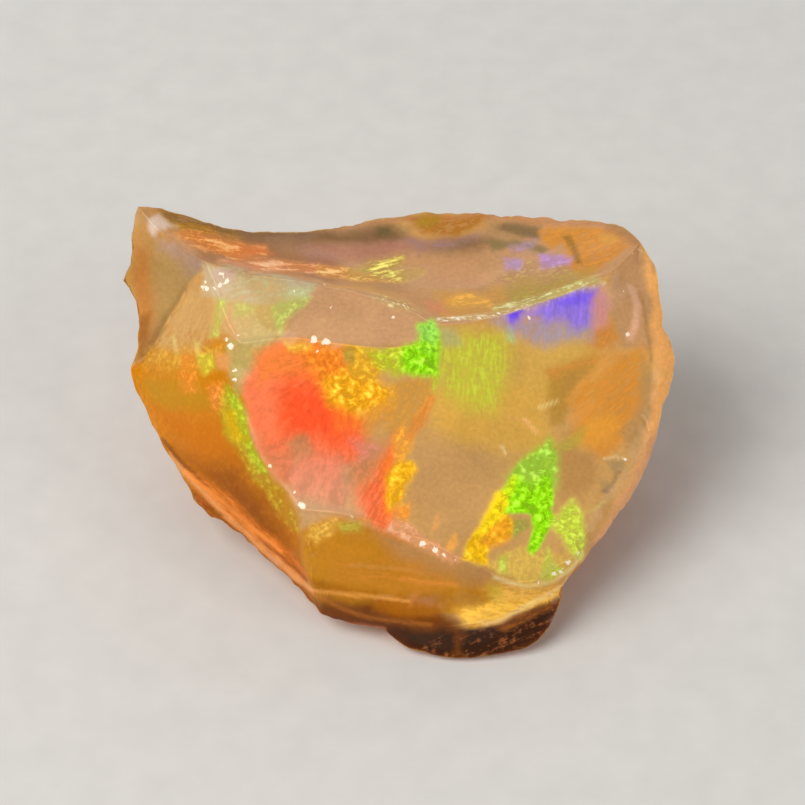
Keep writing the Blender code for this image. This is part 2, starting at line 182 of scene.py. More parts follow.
def break_tree(stone_material):
    """Geometry nodes that turn the faceted solid into smooth shells with nicked arrises."""
    tree = bpy.data.node_groups.new("shell_fracture", "GeometryNodeTree")
    tree.interface.new_socket("Solid", in_out="INPUT", socket_type="NodeSocketGeometry")
    for name in BREAK_SIZES:
        tree.interface.new_socket(name, in_out="INPUT", socket_type="NodeSocketFloat")
    tree.interface.new_socket("Stone", in_out="OUTPUT", socket_type="NodeSocketGeometry")
    given = tree.nodes.new("NodeGroupInput").outputs
    place = add(tree, "GeometryNodeInputPosition")
    seeded = {"Vector": place, "W": given["Seed"]}
    per_metre = {
        name: add(tree, "ShaderNodeMath", {0: 1.0, 1: given[name]}, operation="DIVIDE")
        for name in ("Nick Size", "Nick Gaps", "Fray Size", "Swell Size", "Pit Gaps")
    }

    # Arrises are the solid's edges that fold by more than a fracture's own curve does.
    fold = add(tree, "GeometryNodeInputMeshEdgeAngle", out="Unsigned Angle")
    crease = add(tree, "ShaderNodeMapRange",
                 {0: fold, 1: given["Round Below"], 2: given["Sharp Above"], 3: 0.0, 4: MOST_CREASE},
                 interpolation_type="SMOOTHSTEP")
    is_arris = add(tree, "ShaderNodeMath", {0: fold, 1: given["Arris Above"]},
                   operation="GREATER_THAN")
    arrises = add(tree, "GeometryNodeSeparateGeometry",
                  {"Geometry": given["Solid"], "Selection": is_arris}, domain="EDGE")
    smooth = add(tree, "GeometryNodeSubdivisionSurface",
                 {"Mesh": given["Solid"], "Level": 2, "Edge Crease": crease})
    away = add(tree, "GeometryNodeProximity",
               {"Geometry": arrises, "Sample Position": place}, out="Distance",
               target_element="EDGES")
    on_arris = add(tree, "ShaderNodeMapRange",
                   {0: away, 1: 0.0, 2: given["Arris Reach"], 3: 1.0, 4: 0.0},
                   interpolation_type="SMOOTHSTEP")

    # A nick is a small shell knocked out of an arris. Nicks sit side by side in short runs, and
    # fine fray runs all along.
    shells = add(tree, "ShaderNodeTexVoronoi", {**seeded, "Scale": per_metre["Nick Size"]},
                 voronoi_dimensions="4D")
    hollow = add(tree, "ShaderNodeMapRange",
                 {0: shells, 1: NICK_FLOOR, 2: NICK_EDGE, 3: 1.0, 4: 0.0})
    runs = add(tree, "ShaderNodeTexNoise",
               {**seeded, "Detail": 0.0, "Scale": per_metre["Nick Gaps"]},
               noise_dimensions="4D")
    knocked = add(tree, "ShaderNodeMapRange",
                  {0: runs, 1: RUN_ENDS, 2: RUN_FULL, 3: NICKS_BETWEEN_RUNS, 4: 1.0},
                  interpolation_type="SMOOTHSTEP")
    nick_depth = add(tree, "ShaderNodeMath", {0: given["Nick Depth"], 1: knocked},
                     operation="MULTIPLY")
    nicks = add(tree, "ShaderNodeMath", {0: hollow, 1: nick_depth}, operation="MULTIPLY")
    splinters = add(tree, "ShaderNodeTexNoise",
                    {**seeded, "Detail": 1.0, "Scale": per_metre["Fray Size"]},
                    noise_dimensions="4D")
    worn = add(tree, "ShaderNodeMath", {0: splinters, 1: given["Fray Depth"], 2: nicks},
               operation="MULTIPLY_ADD")
    worn = add(tree, "ShaderNodeMath", {0: worn, 1: on_arris}, operation="MULTIPLY")

    # The faint swell of a shell, and the pits, are sunk in from the surface and never stand proud.
    swell = add(tree, "ShaderNodeTexNoise",
                {**seeded, "Detail": 0.0, "Scale": per_metre["Swell Size"]},
                noise_dimensions="4D")
    pits = add(tree, "ShaderNodeTexVoronoi", {**seeded, "Scale": per_metre["Pit Gaps"]},
               voronoi_dimensions="4D")
    pit = add(tree, "ShaderNodeMapRange", {0: pits, 1: 0.0, 2: PIT_EDGE, 3: 1.0, 4: 0.0},
              interpolation_type="SMOOTHSTEP")
    sunk = add(tree, "ShaderNodeMath", {0: swell, 1: given["Swell Depth"], 2: worn},
               operation="MULTIPLY_ADD")
    sunk = add(tree, "ShaderNodeMath", {0: pit, 1: given["Pit Depth"], 2: sunk},
               operation="MULTIPLY_ADD")

    # The flat underneath stays flat.
    height = add(tree, "ShaderNodeSeparateXYZ", {0: place}, out="Z")
    off_flat = add(tree, "ShaderNodeMapRange",
                   {0: height, 1: 0.0, 2: given["Flat Height"], 3: 0.0, 4: -1.0},
                   interpolation_type="SMOOTHSTEP")
    moved = add(tree, "ShaderNodeMath", {0: sunk, 1: off_flat}, operation="MULTIPLY")
    normal = add(tree, "GeometryNodeInputNormal")
    offset = add(tree, "ShaderNodeVectorMath", {0: normal, "Scale": moved}, operation="SCALE")

    # The way each spot faced before it was worn, and how near it is to an arris, go on to the
    # colouring.
    faced = add(tree, "GeometryNodeStoreNamedAttribute",
                {"Geometry": smooth, "Name": "facing", "Value": normal},
                data_type="FLOAT_VECTOR", domain="POINT")
    marked = add(tree, "GeometryNodeStoreNamedAttribute",
                 {"Geometry": faced, "Name": "arris", "Value": on_arris},
                 data_type="FLOAT", domain="POINT")
    broken = add(tree, "GeometryNodeSetPosition", {"Geometry": marked, "Offset": offset})
    whole = add(tree, "GeometryNodeRealizeInstances", {"Geometry": broken})
    finished = add(tree, "GeometryNodeSetMaterial",
                   {"Geometry": whole, "Material": stone_material})
    add(tree, "NodeGroupOutput", {"Stone": finished})
    return tree


def joined_solid(node):
    """The solid's mesh with its loose triangles joined, and paired into four-sided faces."""
    solid = bmesh.new()
    solid.from_mesh(node.data)
    bmesh.ops.remove_doubles(solid, verts=solid.verts, dist=LOOSE_CORNERS)
    flat = [face for face in solid.faces if max(v.co.z for v in face.verts) < FLAT_WITHIN]
    bmesh.ops.dissolve_faces(solid, faces=flat, use_verts=False)
    bmesh.ops.join_triangles(
        solid,
        faces=[face for face in solid.faces if len(face.verts) == 3],
        angle_face_threshold=PAIR_FOLD,
        angle_shape_threshold=PAIR_SKEW,
    )
    mesh = bpy.data.meshes.new("opal_solid")
    solid.to_mesh(mesh)
    solid.free()
    return mesh


# The opal's own look is given in the last section, once its colours are laid on the mesh.
precious_opal = bpy.data.materials.new("precious_opal")
precious_opal.use_nodes = True

lump = bpy.data.objects.new("opal_lump", joined_solid(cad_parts["rough_fire_opal"]))
bpy.context.scene.collection.objects.link(lump)
fracture = lump.modifiers.new("fracture", "NODES")
fracture.node_group = break_tree(precious_opal)
for socket in fracture.node_group.interface.items_tree:
    if socket.name in BREAK_SIZES:
        fracture[socket.identifier] = BREAK_SIZES[socket.name]
graph = bpy.context.evaluated_depsgraph_get()
opal_mesh = bpy.data.meshes.new_from_object(lump.evaluated_get(graph), depsgraph=graph)
bpy.data.objects.remove(lump)
opal_mesh.name = "rough_opal"
opal_mesh.shade_smooth()
opal_mesh.set_sharp_from_angle(angle=CRISP_FOLD)


# ---------------------------------------------------------------- the stone: its haze and its fire
# Opal is laid down in sheets. Where its silica balls are in good order a sheet flashes one colour,
# its fire, and elsewhere it is a milky haze that traces of iron turn amber. Each sheet is drawn as
# an outline on a plane, and the stone takes on what lies under it, one sheet over another.

# Some sheets below are painted light and shade, not the stone's own colour.
BODY_HAZE = "#C89E60"
WAVERS = ((0.15, 1.1), (0.06, 4.5))  # how far a sheet's edge wanders in mm, and how often per mm
SOFT_ENOUGH = 0.2  # mm: a sheet with a crisper edge than this wanders less
TINT_OF_SPARKS = 0.7  # how far a sheet of haze colours the sparks under it
GLOW_IN_HAZE = 0.6  # how far a sheet of fire colours the haze around its grains
FAINT_WIDTH, BOLDNESS = 0.7, 0.75  # a faint sheet's fibres, and what full strength adds to them
FAN_RADIUS = 2.0  # mm from a fan's middle at which its fibres have their plain width
LIES_ITS_WAY = 0.3  # how much of a sheet a spot has to hold for its fibres to lie that way
SAME_FACE = 0.03  # how far the two faces of an arris run into each other
TURNED_AWAY, TURNED_TO = 0.02, 0.2  # how far a spot faces a plane to take on none or all of it
FRACTURES = {
    # two fractures that meet in an arris: the ways that they face
    ("cheek", "fan_side"): ((-0.60, -0.66, 0.47), (-0.20, -0.76, 0.62)),
    ("scoop", "slope"): ((0.0, 0.0, 1.0), (0.1, -0.6, 0.78)),
    ("left", "brow"): ((-0.40, -0.85, 0.33), (-0.78, -0.40, 0.49)),
    ("bevel", "under_bevel"): ((0.0, -0.30, 0.95), (-0.03, -0.72, 0.69)),
    ("step", "shelf"): ((-0.24, -0.84, 0.48), (0.0, -0.50, 0.86)),
}
PLANES = {
    # name: its directions across and up, and the side that it is seen from
    "slope": ((1, 0, 0), tuple(uphill), tuple(towards_camera)),
    "back": ((-1, 0, 0), (0, 0, 1), (0, 1, 0)),
    "left": ((0, -1, 0), (0, 0, 1), (-1, 0, 0)),
    "right": ((0, 1, 0), (0, 0, 1), (1, 0, 0)),
    "under": ((1, 0, 0), (0, 1, 0), (0, 0, -1)),
}
# Each sheet is given as
# name: fracture, colour, weight, softness of its edge in mm, outline in mm, and for a sheet of fire
# its sparks: their colour, cover, strength, share of grains, and the lie of their fibres, which is
# an angle in degrees or the spot that they fan from.
# The back: amber below, milky above, with fire of every colour between.
BACK_SHEETS = {
    "back_foot": ("any", "#B26E1C", 0.9, 1.2, (
        (-9.0, -5.2), (9.0, -5.2), (8.0, -2.0), (3.0, -1.2), (-2.0, -2.2), (-8.0, -1.6),
    )),
    "back_brow": ("any", "#CFA868", 0.8, 0.8, (
        (-8.0, 0.6), (-2.0, 1.2), (3.0, 0.8), (8.0, 1.2), (9.0, 5.0), (-9.0, 5.0),
    )),
    "back_cloud": ("any", "#DC9846", 0.9, 0.5, (
        (-7.0, -1.0), (-4.6, 0.9), (-2.4, 0.5), (-1.6, -0.6), (-2.8, -2.0), (-5.2, -3.0),
    ), ("#F0B060", 0.6, 0.4, 0.6, 30)),
    "back_cloud_far": ("any", "#D8923E", 0.8, 0.5, (
        (5.4, -3.0), (7.2, -1.6), (7.8, 0.6), (6.4, 0.8), (5.2, -0.4), (4.6, -2.0),
    ), ("#EFAA58", 0.6, 0.4, 0.6, 60)),
    "back_rain": ("any", "#BFBA4A", 0.8, 0.4, (
        (-3.6, 1.0), (-0.6, 0.8), (0.6, 1.6), (-0.8, 2.4), (-3.6, 2.2),
    ), ("#D6F04E", 0.55, 0.7, 0.1, 85)),
    "back_red": ("any", "#F2562A", 0.95, 0.38, (
        (-4.8, -3.2), (-3.2, -3.8), (-1.0, -3.0), (-0.8, -1.4), (-2.2, -0.5), (-4.0, -1.2),
    ), ("#FF8A50", 0.9, 0.5, 0.2, (-1.6, 0.8))),
    "back_gold": ("any", "#F0A416", 0.95, 0.22, (
        (-0.6, -3.3), (1.6, -3.0), (1.4, -1.2), (0.5, 0.1), (-0.8, -0.7), (-1.1, -2.2),
    ), ("#FFE634", 0.9, 0.9, 0.9, 70)),
    "back_green": ("any", "#84D410", 1.0, 0.22, (
        (1.4, -2.9), (3.2, -1.6), (4.8, -0.4), (5.4, 0.7), (4.4, 1.2), (2.6, 0.4), (1.3, -0.7),
        (1.0, -2.0),
    ), ("#CCFA44", 0.9, 0.9, 0.9, 35)),
    "back_violet": ("any", "#9682D8", 0.9, 0.3, (
        (5.2, 1.2), (6.8, 1.6), (7.8, 2.6), (6.2, 2.9), (4.8, 2.0),
    ), ("#9A88FF", 0.7, 0.6, 0.1, 80)),
    "back_pearl": ("any", "#D4C6A0", 0.7, 0.3, (
        (-7.8, 0.6), (-5.6, 1.6), (-5.8, 2.6), (-8.2, 2.6),
    )),
    "back_arc": ("any", "#ECC080", 0.5, 0.06, (
        (-6.5, -3.6), (-4.0, -3.9), (-1.0, -4.0), (2.0, -3.7), (4.5, -3.0), (4.5, -2.9),
        (2.0, -3.55), (-1.0, -3.85), (-4.0, -3.75), (-6.5, -3.5),
    )),
    "back_arc_high": ("any", "#E8C088", 0.5, 0.06, (
        (-8.0, -1.6), (-5.5, -0.2), (-3.0, 0.8), (-0.5, 1.3), (-0.5, 1.4), (-3.0, 0.9),
        (-5.5, -0.1), (-8.0, -1.45),
    )),
    "back_arc_far": ("any", "#E8C088", 0.5, 0.06, (
        (3.0, 2.6), (4.6, 1.4), (6.2, 0.8), (8.0, 0.6), (8.0, 0.7), (6.2, 0.9), (4.7, 1.5),
        (3.1, 2.7),
    )),
}
# The right side.
RIGHT_SHEETS = {
    "right_arc": ("any", "#ECC080", 0.5, 0.06, (
        (-6.0, -3.9), (-3.0, -2.2), (0.0, -1.2), (3.0, -0.9), (3.0, -0.8), (0.0, -1.1),
        (-3.0, -2.1), (-6.0, -3.8),
    )),
    "right_foot": ("any", "#AC6A1A", 0.9, 0.9, (
        (-7.5, -5.2), (7.0, -5.2), (7.0, -3.2), (0.0, -3.0), (-6.0, -3.8),
    )),
    "right_cloud": ("any", "#DA9444", 0.9, 0.5, (
        (-2.4, -2.6), (0.8, -0.8), (3.4, 0.4), (4.4, -1.4), (1.2, -3.0),
    ), ("#F0AC5C", 0.6, 0.4, 0.6, 35)),
    "right_red": ("any", "#F0602E", 0.95, 0.32, (
        (-3.6, -3.9), (-1.4, -3.6), (-0.2, -2.4), (-1.5, -1.8), (-3.2, -2.6),
    ), ("#FF9058", 0.85, 0.6, 0.2, 20)),
    "right_gold": ("any", "#EDA01E", 0.95, 0.2, (
        (-0.3, -3.7), (1.5, -3.5), (1.9, -2.2), (0.5, -1.8), (-0.3, -2.5),
    ), ("#FFE634", 0.8, 0.9, 0.9, 50)),
    "right_green": ("any", "#78C41C", 0.95, 0.24, (
        (2.0, -3.7), (4.2, -3.0), (5.3, -1.3), (4.3, -0.3), (2.9, -1.5), (1.9, -2.7),
    ), ("#C4F83E", 0.8, 0.9, 0.9, 60)),
}
# The left side, under the horn.
LEFT_SHEETS = {
    "left_wall": ("any", "#C89A58", 1.0, 0.4, (
        (-7.5, -5.2), (-2.2, -5.2), (-2.2, 5.0), (-7.5, 5.0),
    )),
    "left_wall_foot": ("any", "#AE6E1C", 0.9, 0.9, (
        (-7.5, -5.2), (0.0, -5.2), (-0.6, -3.0), (-4.0, -2.0), (-7.5, -1.8),
    )),
    "left_wall_ember": ("any", "#E67A30", 0.9, 0.35, (
        (-5.8, -2.6), (-4.3, -1.8), (-3.2, 0.2), (-3.7, 2.0), (-5.0, 1.0), (-5.9, -0.6),
    ), ("#FFAA62", 0.8, 0.8, 0.5, 75)),
    "left_wall_green": ("any", "#A6CA30", 0.9, 0.25, (
        (-5.2, 1.2), (-3.8, 1.7), (-3.3, 3.0), (-4.7, 3.2),
    ), ("#CEF44A", 0.8, 0.8, 0.7, 75)),
}
# The flat that it rests on.
UNDER_SHEETS = {
    "under_haze": ("any", "#A86C20", 1.0, 0.5, (
        (-11.0, -9.0), (11.0, -9.0), (11.0, 9.0), (-11.0, 9.0),
    )),
    "under_ember": ("any", "#EE8C2A", 0.9, 0.5, (
        (-3.4, -2.0), (-0.4, -3.0), (2.0, -1.2), (1.0, 1.0), (-2.0, 1.2),
    ), ("#FFD040", 0.8, 0.8, 0.8, 20)),
    "under_green": ("any", "#88C424", 0.9, 0.4, (
        (2.6, 0.0), (5.0, 0.6), (5.6, 2.6), (3.6, 3.2), (2.0, 1.8),
    ), ("#C8F040", 0.8, 0.8, 0.8, 50)),
}
# The scooped top: brown haze, flames to the left, violet and orange to the right.
SCOOP_SHEETS = {
    "scoop_floor": ("scoop", "#C0966A", 1.0, 0.3, (
        (-10.25, 7.55), (10.8, 7.55), (10.8, 2.65), (0.65, 2.1), (-10.25, 3.75),
    )),
    "scoop_brown": ("scoop", "#A47850", 0.9, 0.5, (
        (-7.35, 6.45), (-2.65, 6.2), (-2.25, 5.1), (-2.65, 4.45), (-7.35, 5.1),
    )),
    "scoop_shade": ("scoop", "#7C6040", 0.9, 0.45, (
        (-7.2, 6.7), (-2.65, 6.4), (0.65, 6.65), (3.55, 6.05), (2.8, 5.55), (-0.8, 5.7),
        (-3.75, 5.9), (-7.2, 6.15),
    )),
    "scoop_rose": ("scoop", "#B0806A", 0.9, 0.35, (
        (-3.75, 5.7), (-0.8, 6.0), (1.35, 6.25), (1.9, 6.0), (-0.1, 5.4), (-3.35, 5.05),
    )),
    "scoop_mauve": ("scoop", "#9E8078", 0.8, 0.3, (
        (-0.1, 6.05), (1.75, 6.35), (3.05, 6.35), (2.8, 6.0), (0.65, 5.55),
    ), ("#A88CA8", 0.6, 0.3, 0.2, 6)),
    "scoop_olive": ("scoop", "#72603A", 0.9, 0.25, (
        (-0.95, 6.6), (0.5, 6.7), (0.55, 6.25), (-0.9, 6.15),
    )),
    "scoop_rim": ("any", "#B8865C", 0.8, 0.12, (
        (-2.25, 6.55), (-0.1, 6.95), (2.8, 7.05), (5.2, 6.95), (8.65, 6.4), (5.0, 6.65),
        (2.8, 6.85), (-0.1, 6.7),
    )),
    "scoop_gold": ("any", "#AC7430", 1.0, 0.25, (
        (0.05, 6.95), (3.2, 7.05), (2.95, 6.55), (1.95, 6.2), (0.65, 6.25),
    ), ("#C89040", 0.6, 0.5, 0.4, 10)),
    "scoop_gold_spot": ("any", "#A88828", 0.8, 0.14, (
        (0.55, 6.95), (1.45, 6.9), (1.0, 6.5), (0.5, 6.55),
    )),
    "scoop_smoke": ("scoop", "#88704E", 1.0, 0.16, (
        (2.75, 6.75), (5.15, 6.6), (5.05, 6.0), (4.05, 6.25), (3.2, 6.4),
    )),
    "scoop_smoke_line": ("scoop", "#AE8C60", 0.9, 0.06, (
        (2.9, 6.4), (3.55, 6.4), (4.25, 6.2), (4.25, 6.05), (3.4, 6.25),
    )),
    "scoop_smoke_low": ("scoop", "#8A7A50", 0.9, 0.12, (
        (3.2, 6.15), (4.25, 6.05), (5.35, 5.65), (5.15, 5.45), (4.2, 5.85), (3.35, 5.6),
    )),
    "scoop_orange": ("scoop", "#CE9040", 1.0, 0.14, (
        (5.0, 6.4), (5.35, 6.6), (8.7, 6.35), (8.9, 5.9), (7.6, 5.1), (6.55, 4.45), (6.0, 5.05),
        (5.9, 5.9), (5.45, 5.65), (5.1, 6.0),
    ), ("#E0A04C", 0.8, 0.35, 0.2, 20)),
    "scoop_streak": ("scoop", "#9A7436", 0.8, 0.08, (
        (5.95, 6.2), (6.25, 6.2), (6.6, 5.05), (6.35, 5.1),
    )),
    "scoop_orange_spot": ("scoop", "#D2A04A", 0.7, 0.16, (
        (7.2, 6.25), (7.75, 6.25), (8.0, 5.9), (7.4, 5.85),
    )),
    "scoop_green": ("scoop", "#AE9840", 0.85, 0.3, (
        (3.45, 3.95), (4.25, 4.4), (5.75, 4.6), (6.9, 4.8), (6.3, 4.15), (5.0, 3.65),
        (3.55, 3.25),
    ), ("#C8C860", 0.5, 0.4, 0.4, 20)),
    "scoop_lip": ("scoop", "#D09E50", 0.8, 0.25, (
        (1.2, 4.0), (3.55, 4.15), (3.75, 3.75), (3.4, 3.2), (1.35, 3.05),
    )),
    "scoop_lip_gold": ("scoop", "#E6B050", 0.9, 0.14, (
        (1.5, 3.8), (2.45, 4.0), (3.2, 3.75), (3.3, 3.45), (2.45, 3.4), (1.6, 3.6),
    ), ("#FFC864", 0.75, 0.8, 0.3, 4)),
    "scoop_lip_rose": ("scoop", "#D8926C", 0.7, 0.2, (
        (0.7, 3.8), (1.45, 3.65), (1.65, 3.3), (1.0, 3.3),
    )),
    "scoop_horn": ("scoop", "#98743A", 1.0, 0.22, (
        (-9.55, 7.25), (-8.65, 7.15), (-6.05, 6.45), (-5.9, 5.9), (-7.75, 6.15), (-9.2, 6.8),
    ), ("#C08C38", 0.7, 0.5, 0.1, -14)),
    "scoop_horn_gold": ("scoop", "#B88A24", 0.8, 0.14, (
        (-8.55, 6.55), (-7.2, 6.4), (-6.8, 6.15), (-7.75, 6.15), (-8.4, 6.25),
    ), ("#E0A030", 0.7, 0.6, 0.1, -12)),
    "scoop_flame": ("scoop", "#E8984A", 1.0, 0.2, (
        (-8.4, 6.2), (-7.35, 6.25), (-6.2, 5.9), (-5.05, 5.7), (-5.0, 5.3), (-6.1, 5.2),
        (-7.2, 5.45), (-8.0, 5.85),
    ), ("#FFCC88", 0.8, 1.0, 0.06, -7)),
    "scoop_flame_red": ("scoop", "#EA8A4C", 0.7, 0.25, (
        (-6.2, 5.65), (-5.25, 5.75), (-4.8, 5.45), (-5.45, 5.25), (-6.05, 5.35),
    )),
    "scoop_flame_low": ("scoop", "#E69A5C", 1.0, 0.18, (
        (-6.7, 5.1), (-5.2, 5.2), (-3.75, 5.15), (-3.05, 5.05), (-2.1, 4.9), (-2.1, 4.65),
        (-3.35, 4.8), (-5.1, 4.7), (-6.55, 4.95),
    ), ("#FFD0A0", 0.8, 1.0, 0.06, -3)),
    "scoop_flame_tail": ("scoop", "#E0A458", 0.95, 0.1, (
        (-3.05, 5.05), (-1.9, 4.9), (-1.1, 4.7), (0.05, 4.65), (0.05, 4.4), (-1.9, 4.45),
        (-3.15, 4.65),
    ), ("#FFD890", 0.82, 1.0, 0.06, -4)),
    "scoop_lime": ("scoop", "#C0A44E", 0.9, 0.2, (
        (-2.0, 4.9), (-1.1, 5.15), (-0.05, 5.4), (0.1, 5.2), (-0.1, 4.9), (0.85, 4.85),
        (0.9, 4.7), (-0.1, 4.4), (-1.85, 4.65),
    ), ("#F6F080", 0.72, 1.0, 0.08, 14)),
    "violet_left": ("scoop", "#B494B8", 0.9, 0.14, (
        (3.75, 5.35), (4.4, 5.35), (4.35, 4.9), (3.8, 4.95),
    ), ("#C8A4DC", 0.8, 0.5, 0.6, 8)),
    "violet_far": ("scoop", "#AC9098", 0.8, 0.14, (
        (3.9, 5.9), (5.05, 6.05), (4.8, 5.6), (4.05, 5.55),
    ), ("#BC9CC8", 0.7, 0.5, 0.6, 8)),
    "violet_right": ("scoop", "#B890C4", 0.85, 0.14, (
        (5.0, 5.45), (5.45, 5.45), (6.25, 5.35), (6.15, 5.1), (5.45, 5.0), (5.1, 4.95),
    ), ("#C8A0E0", 0.85, 0.5, 0.6, 8)),
}
CHEEK_OUTLINE = (
    (-10.35, 2.65), (-7.75, 2.65), (-5.9, 2.1), (-5.1, -1.75), (-3.75, -4.1), (-3.45, -6.65),
    (-2.45, -7.6), (-3.75, -7.35), (-7.75, -4.1), (-9.75, -0.45), (-10.35, 1.2),
)
# The left cheek, the brow over it, and the break up to the horn.
CHEEK_SHEETS = {
    "cheek_base": ("cheek", "#BC7808", 1.0, 0.3, CHEEK_OUTLINE),
    "cheek_amber": ("cheek", "#CC8408", 1.0, 0.3, CHEEK_OUTLINE, ("#E89830", 0.75, 0.3, 0.8, 70)),
    # painted shade: the cheek painted darker towards its foot
    "cheek_foot": ("cheek", "#8C4600", 0.85, 1.0, (
        (-8.45, -1.75), (-5.9, -2.15), (-4.6, -3.85), (-3.6, -5.75), (-3.5, -6.9), (-5.1, -5.0),
        (-7.35, -2.8),
    )),
    # painted shade
    "cheek_dark": ("cheek", "#803F00", 0.4, 0.7, (
        (-6.45, -3.2), (-5.25, -3.55), (-4.25, -4.8), (-3.75, -5.75), (-4.8, -5.2), (-6.1, -3.9),
    )),
    "cheek_mid": ("cheek", "#C87400", 0.8, 0.6, (
        (-9.2, -0.2), (-6.35, -0.65), (-5.9, -2.15), (-7.35, -2.15), (-8.8, -1.0),
    )),
    "cheek_olive": ("cheek", "#BC8A0C", 0.8, 0.3, (
        (-9.6, 0.9), (-7.35, 0.8), (-6.8, -0.25), (-8.8, -0.25), (-9.45, 0.25),
    )),
    "brow_tan": ("any", "#C8A062", 1.0, 0.3, (
        (-10.0, 2.1), (-8.8, 2.95), (-7.25, 4.25), (-6.7, 3.75), (-6.85, 2.4), (-7.2, 1.85),
        (-8.8, 1.85),
    ), ("#D8B070", 0.6, 0.3, 0.4, 60)),
    "left_break": ("left", "#BC8E50", 1.0, 0.12, (
        (-10.25, 7.5), (-9.2, 7.35), (-6.95, 5.1), (-8.25, 2.8), (-9.55, 0.65), (-10.35, 3.75),
    )),
    "left_orange": ("left", "#C07A30", 0.6, 0.4, (
        (-9.75, 5.55), (-9.0, 5.55), (-9.1, 4.1), (-9.45, 2.45), (-9.75, 3.55),
    )),
    # painted reflection: the right half of the left face painted greyer
    "left_painted_reflection": ("left", "#AE9058", 0.8, 0.35, (
        (-8.95, 5.9), (-7.15, 5.1), (-7.05, 4.65), (-7.95, 3.75), (-8.8, 2.55), (-9.2, 2.65),
        (-8.9, 4.1), (-9.1, 5.45),
    )),
    "left_lavender": ("left", "#B09690", 0.5, 0.25, (
        (-8.8, 6.05), (-7.95, 5.7), (-8.15, 5.4), (-8.75, 5.55),
    )),
    "left_lavender_far": ("left", "#A88C8C", 0.55, 0.45, (
        (-8.25, 5.55), (-7.75, 5.55), (-7.05, 5.1), (-7.15, 4.6), (-7.6, 4.6), (-8.0, 5.1),
    )),
    "left_lug": ("any", "#C89048", 0.8, 0.14, (
        (-10.25, 4.55), (-9.9, 5.1), (-9.8, 4.1), (-10.0, 3.95),
    )),
    "left_tip": ("any", "#B48E60", 0.8, 0.14, (
        (-10.0, 7.3), (-9.45, 7.2), (-8.95, 6.65), (-9.45, 6.4), (-9.85, 6.8),
    )),
    # painted highlight at the top of the horn
    "left_glare": ("any", "#D8C8B8", 0.8, 0.12, (
        (-9.2, 6.6), (-8.8, 6.8), (-8.4, 6.5), (-8.15, 6.35), (-8.8, 6.25), (-8.95, 6.0),
        (-9.2, 6.2),
    )),
    # painted shade next to the arris between the left face and the brow
    "left_painted_shade": ("left", "#8A6C38", 0.42, 0.14, (
        (-7.85, 4.3), (-7.65, 4.45), (-8.55, 2.95), (-9.35, 1.6), (-9.55, 1.4), (-9.2, 2.5),
    )),
    "left_foot": ("any", "#A0682A", 0.8, 0.12, (
        (-9.7, 3.05), (-9.2, 3.35), (-9.35, 2.35), (-9.5, 1.45), (-9.6, 1.9),
    )),
}
# The bevels between the scoop and the slope: pearl, a clear window, and rose. The pearl grey
# and the rose are partly the stone's haze and partly a painted reflection.
BEVEL_SHEETS = {
    "pearl_haze_and_reflection": ("any", "#C2B080", 1.0, 0.14, (
        (-7.25, 5.05), (-5.55, 4.75), (-2.85, 4.3), (-3.2, 3.65), (-4.3, 3.5), (-4.8, 3.45),
        (-6.05, 3.6), (-6.45, 3.6), (-7.15, 3.9),
    ), ("#CCC094", 0.6, 0.4, 0.6, 10)),
    "pearl_left": ("any", "#CAB290", 0.8, 0.18, (
        (-7.2, 4.95), (-6.2, 4.75), (-6.15, 4.15), (-6.55, 3.75), (-7.15, 4.0),
    )),
    "pearl_pink": ("any", "#C4A294", 0.7, 0.12, (
        (-6.8, 4.8), (-5.9, 4.7), (-6.05, 4.4), (-6.65, 4.4),
    )),
    "pearl_lavender": ("any", "#BCB096", 0.6, 0.25, (
        (-4.3, 4.5), (-3.05, 4.35), (-3.2, 3.95), (-4.1, 4.1),
    )),
    "pearl_mint": ("any", "#C0C692", 0.85, 0.2, (
        (-4.15, 4.15), (-3.2, 4.15), (-3.45, 3.65), (-4.25, 3.75),
    ), ("#E0F0C8", 0.9, 0.3, 0.8, 10)),
    "window": ("any", "#CCB06A", 1.0, 0.12, (
        (-6.05, 3.55), (-4.6, 3.45), (-4.4, 3.0), (-4.25, 2.4), (-4.9, 2.25), (-5.75, 2.25),
        (-6.1, 2.95),
    ), ("#D8C07C", 0.9, 0.4, 0.7, 40)),
    "window_top": ("any", "#BEB858", 0.7, 0.1, (
        (-6.15, 3.6), (-5.05, 3.5), (-5.35, 3.2), (-6.05, 3.0),
    ), ("#D4D868", 0.7, 0.6, 0.7, 20)),
    # partly the stone's haze, partly a painted reflection
    "rose_haze_and_reflection": ("bevel", "#C99E72", 1.0, 0.08, (
        (-2.95, 4.3), (-0.8, 3.9), (0.95, 3.3), (1.35, 2.8), (0.7, 2.15), (-0.8, 2.0),
        (-3.75, 2.05), (-4.35, 2.25), (-3.75, 3.05), (-3.3, 3.75),
    )),
    "rose_frost": ("bevel", "#D2B078", 0.8, 0.14, (
        (-1.25, 4.0), (0.05, 3.8), (0.65, 3.2), (-0.1, 3.3), (-1.05, 3.6),
    ), ("#F4E8B0", 0.75, 1.0, 0.7, -25)),
    "khaki": ("any", "#BCAA66", 0.95, 0.16, (
        (-6.35, 2.25), (-4.25, 2.35), (-4.65, 1.85), (-5.2, 1.1), (-5.7, 0.3), (-6.05, 0.3),
        (-6.35, 1.55),
    ), ("#D0BC70", 0.8, 0.35, 0.6, 60)),
    "brow_fringe": ("any", "#C0BC5C", 0.9, 0.12, (
        (-6.75, 3.75), (-6.3, 3.65), (-6.3, 3.2), (-6.55, 2.8), (-6.6, 2.35), (-6.95, 2.35),
        (-6.8, 3.0),
    ), ("#DCE470", 0.7, 0.6, 0.5, 80)),
    "window_fringe": ("any", "#BEC468", 0.95, 0.14, (
        (-4.65, 3.4), (-4.3, 3.65), (-3.25, 3.75), (-3.65, 3.3), (-4.1, 2.9), (-4.3, 2.4),
        (-4.5, 2.95),
    ), ("#ECF08C", 0.8, 0.65, 0.6, 55)),
}
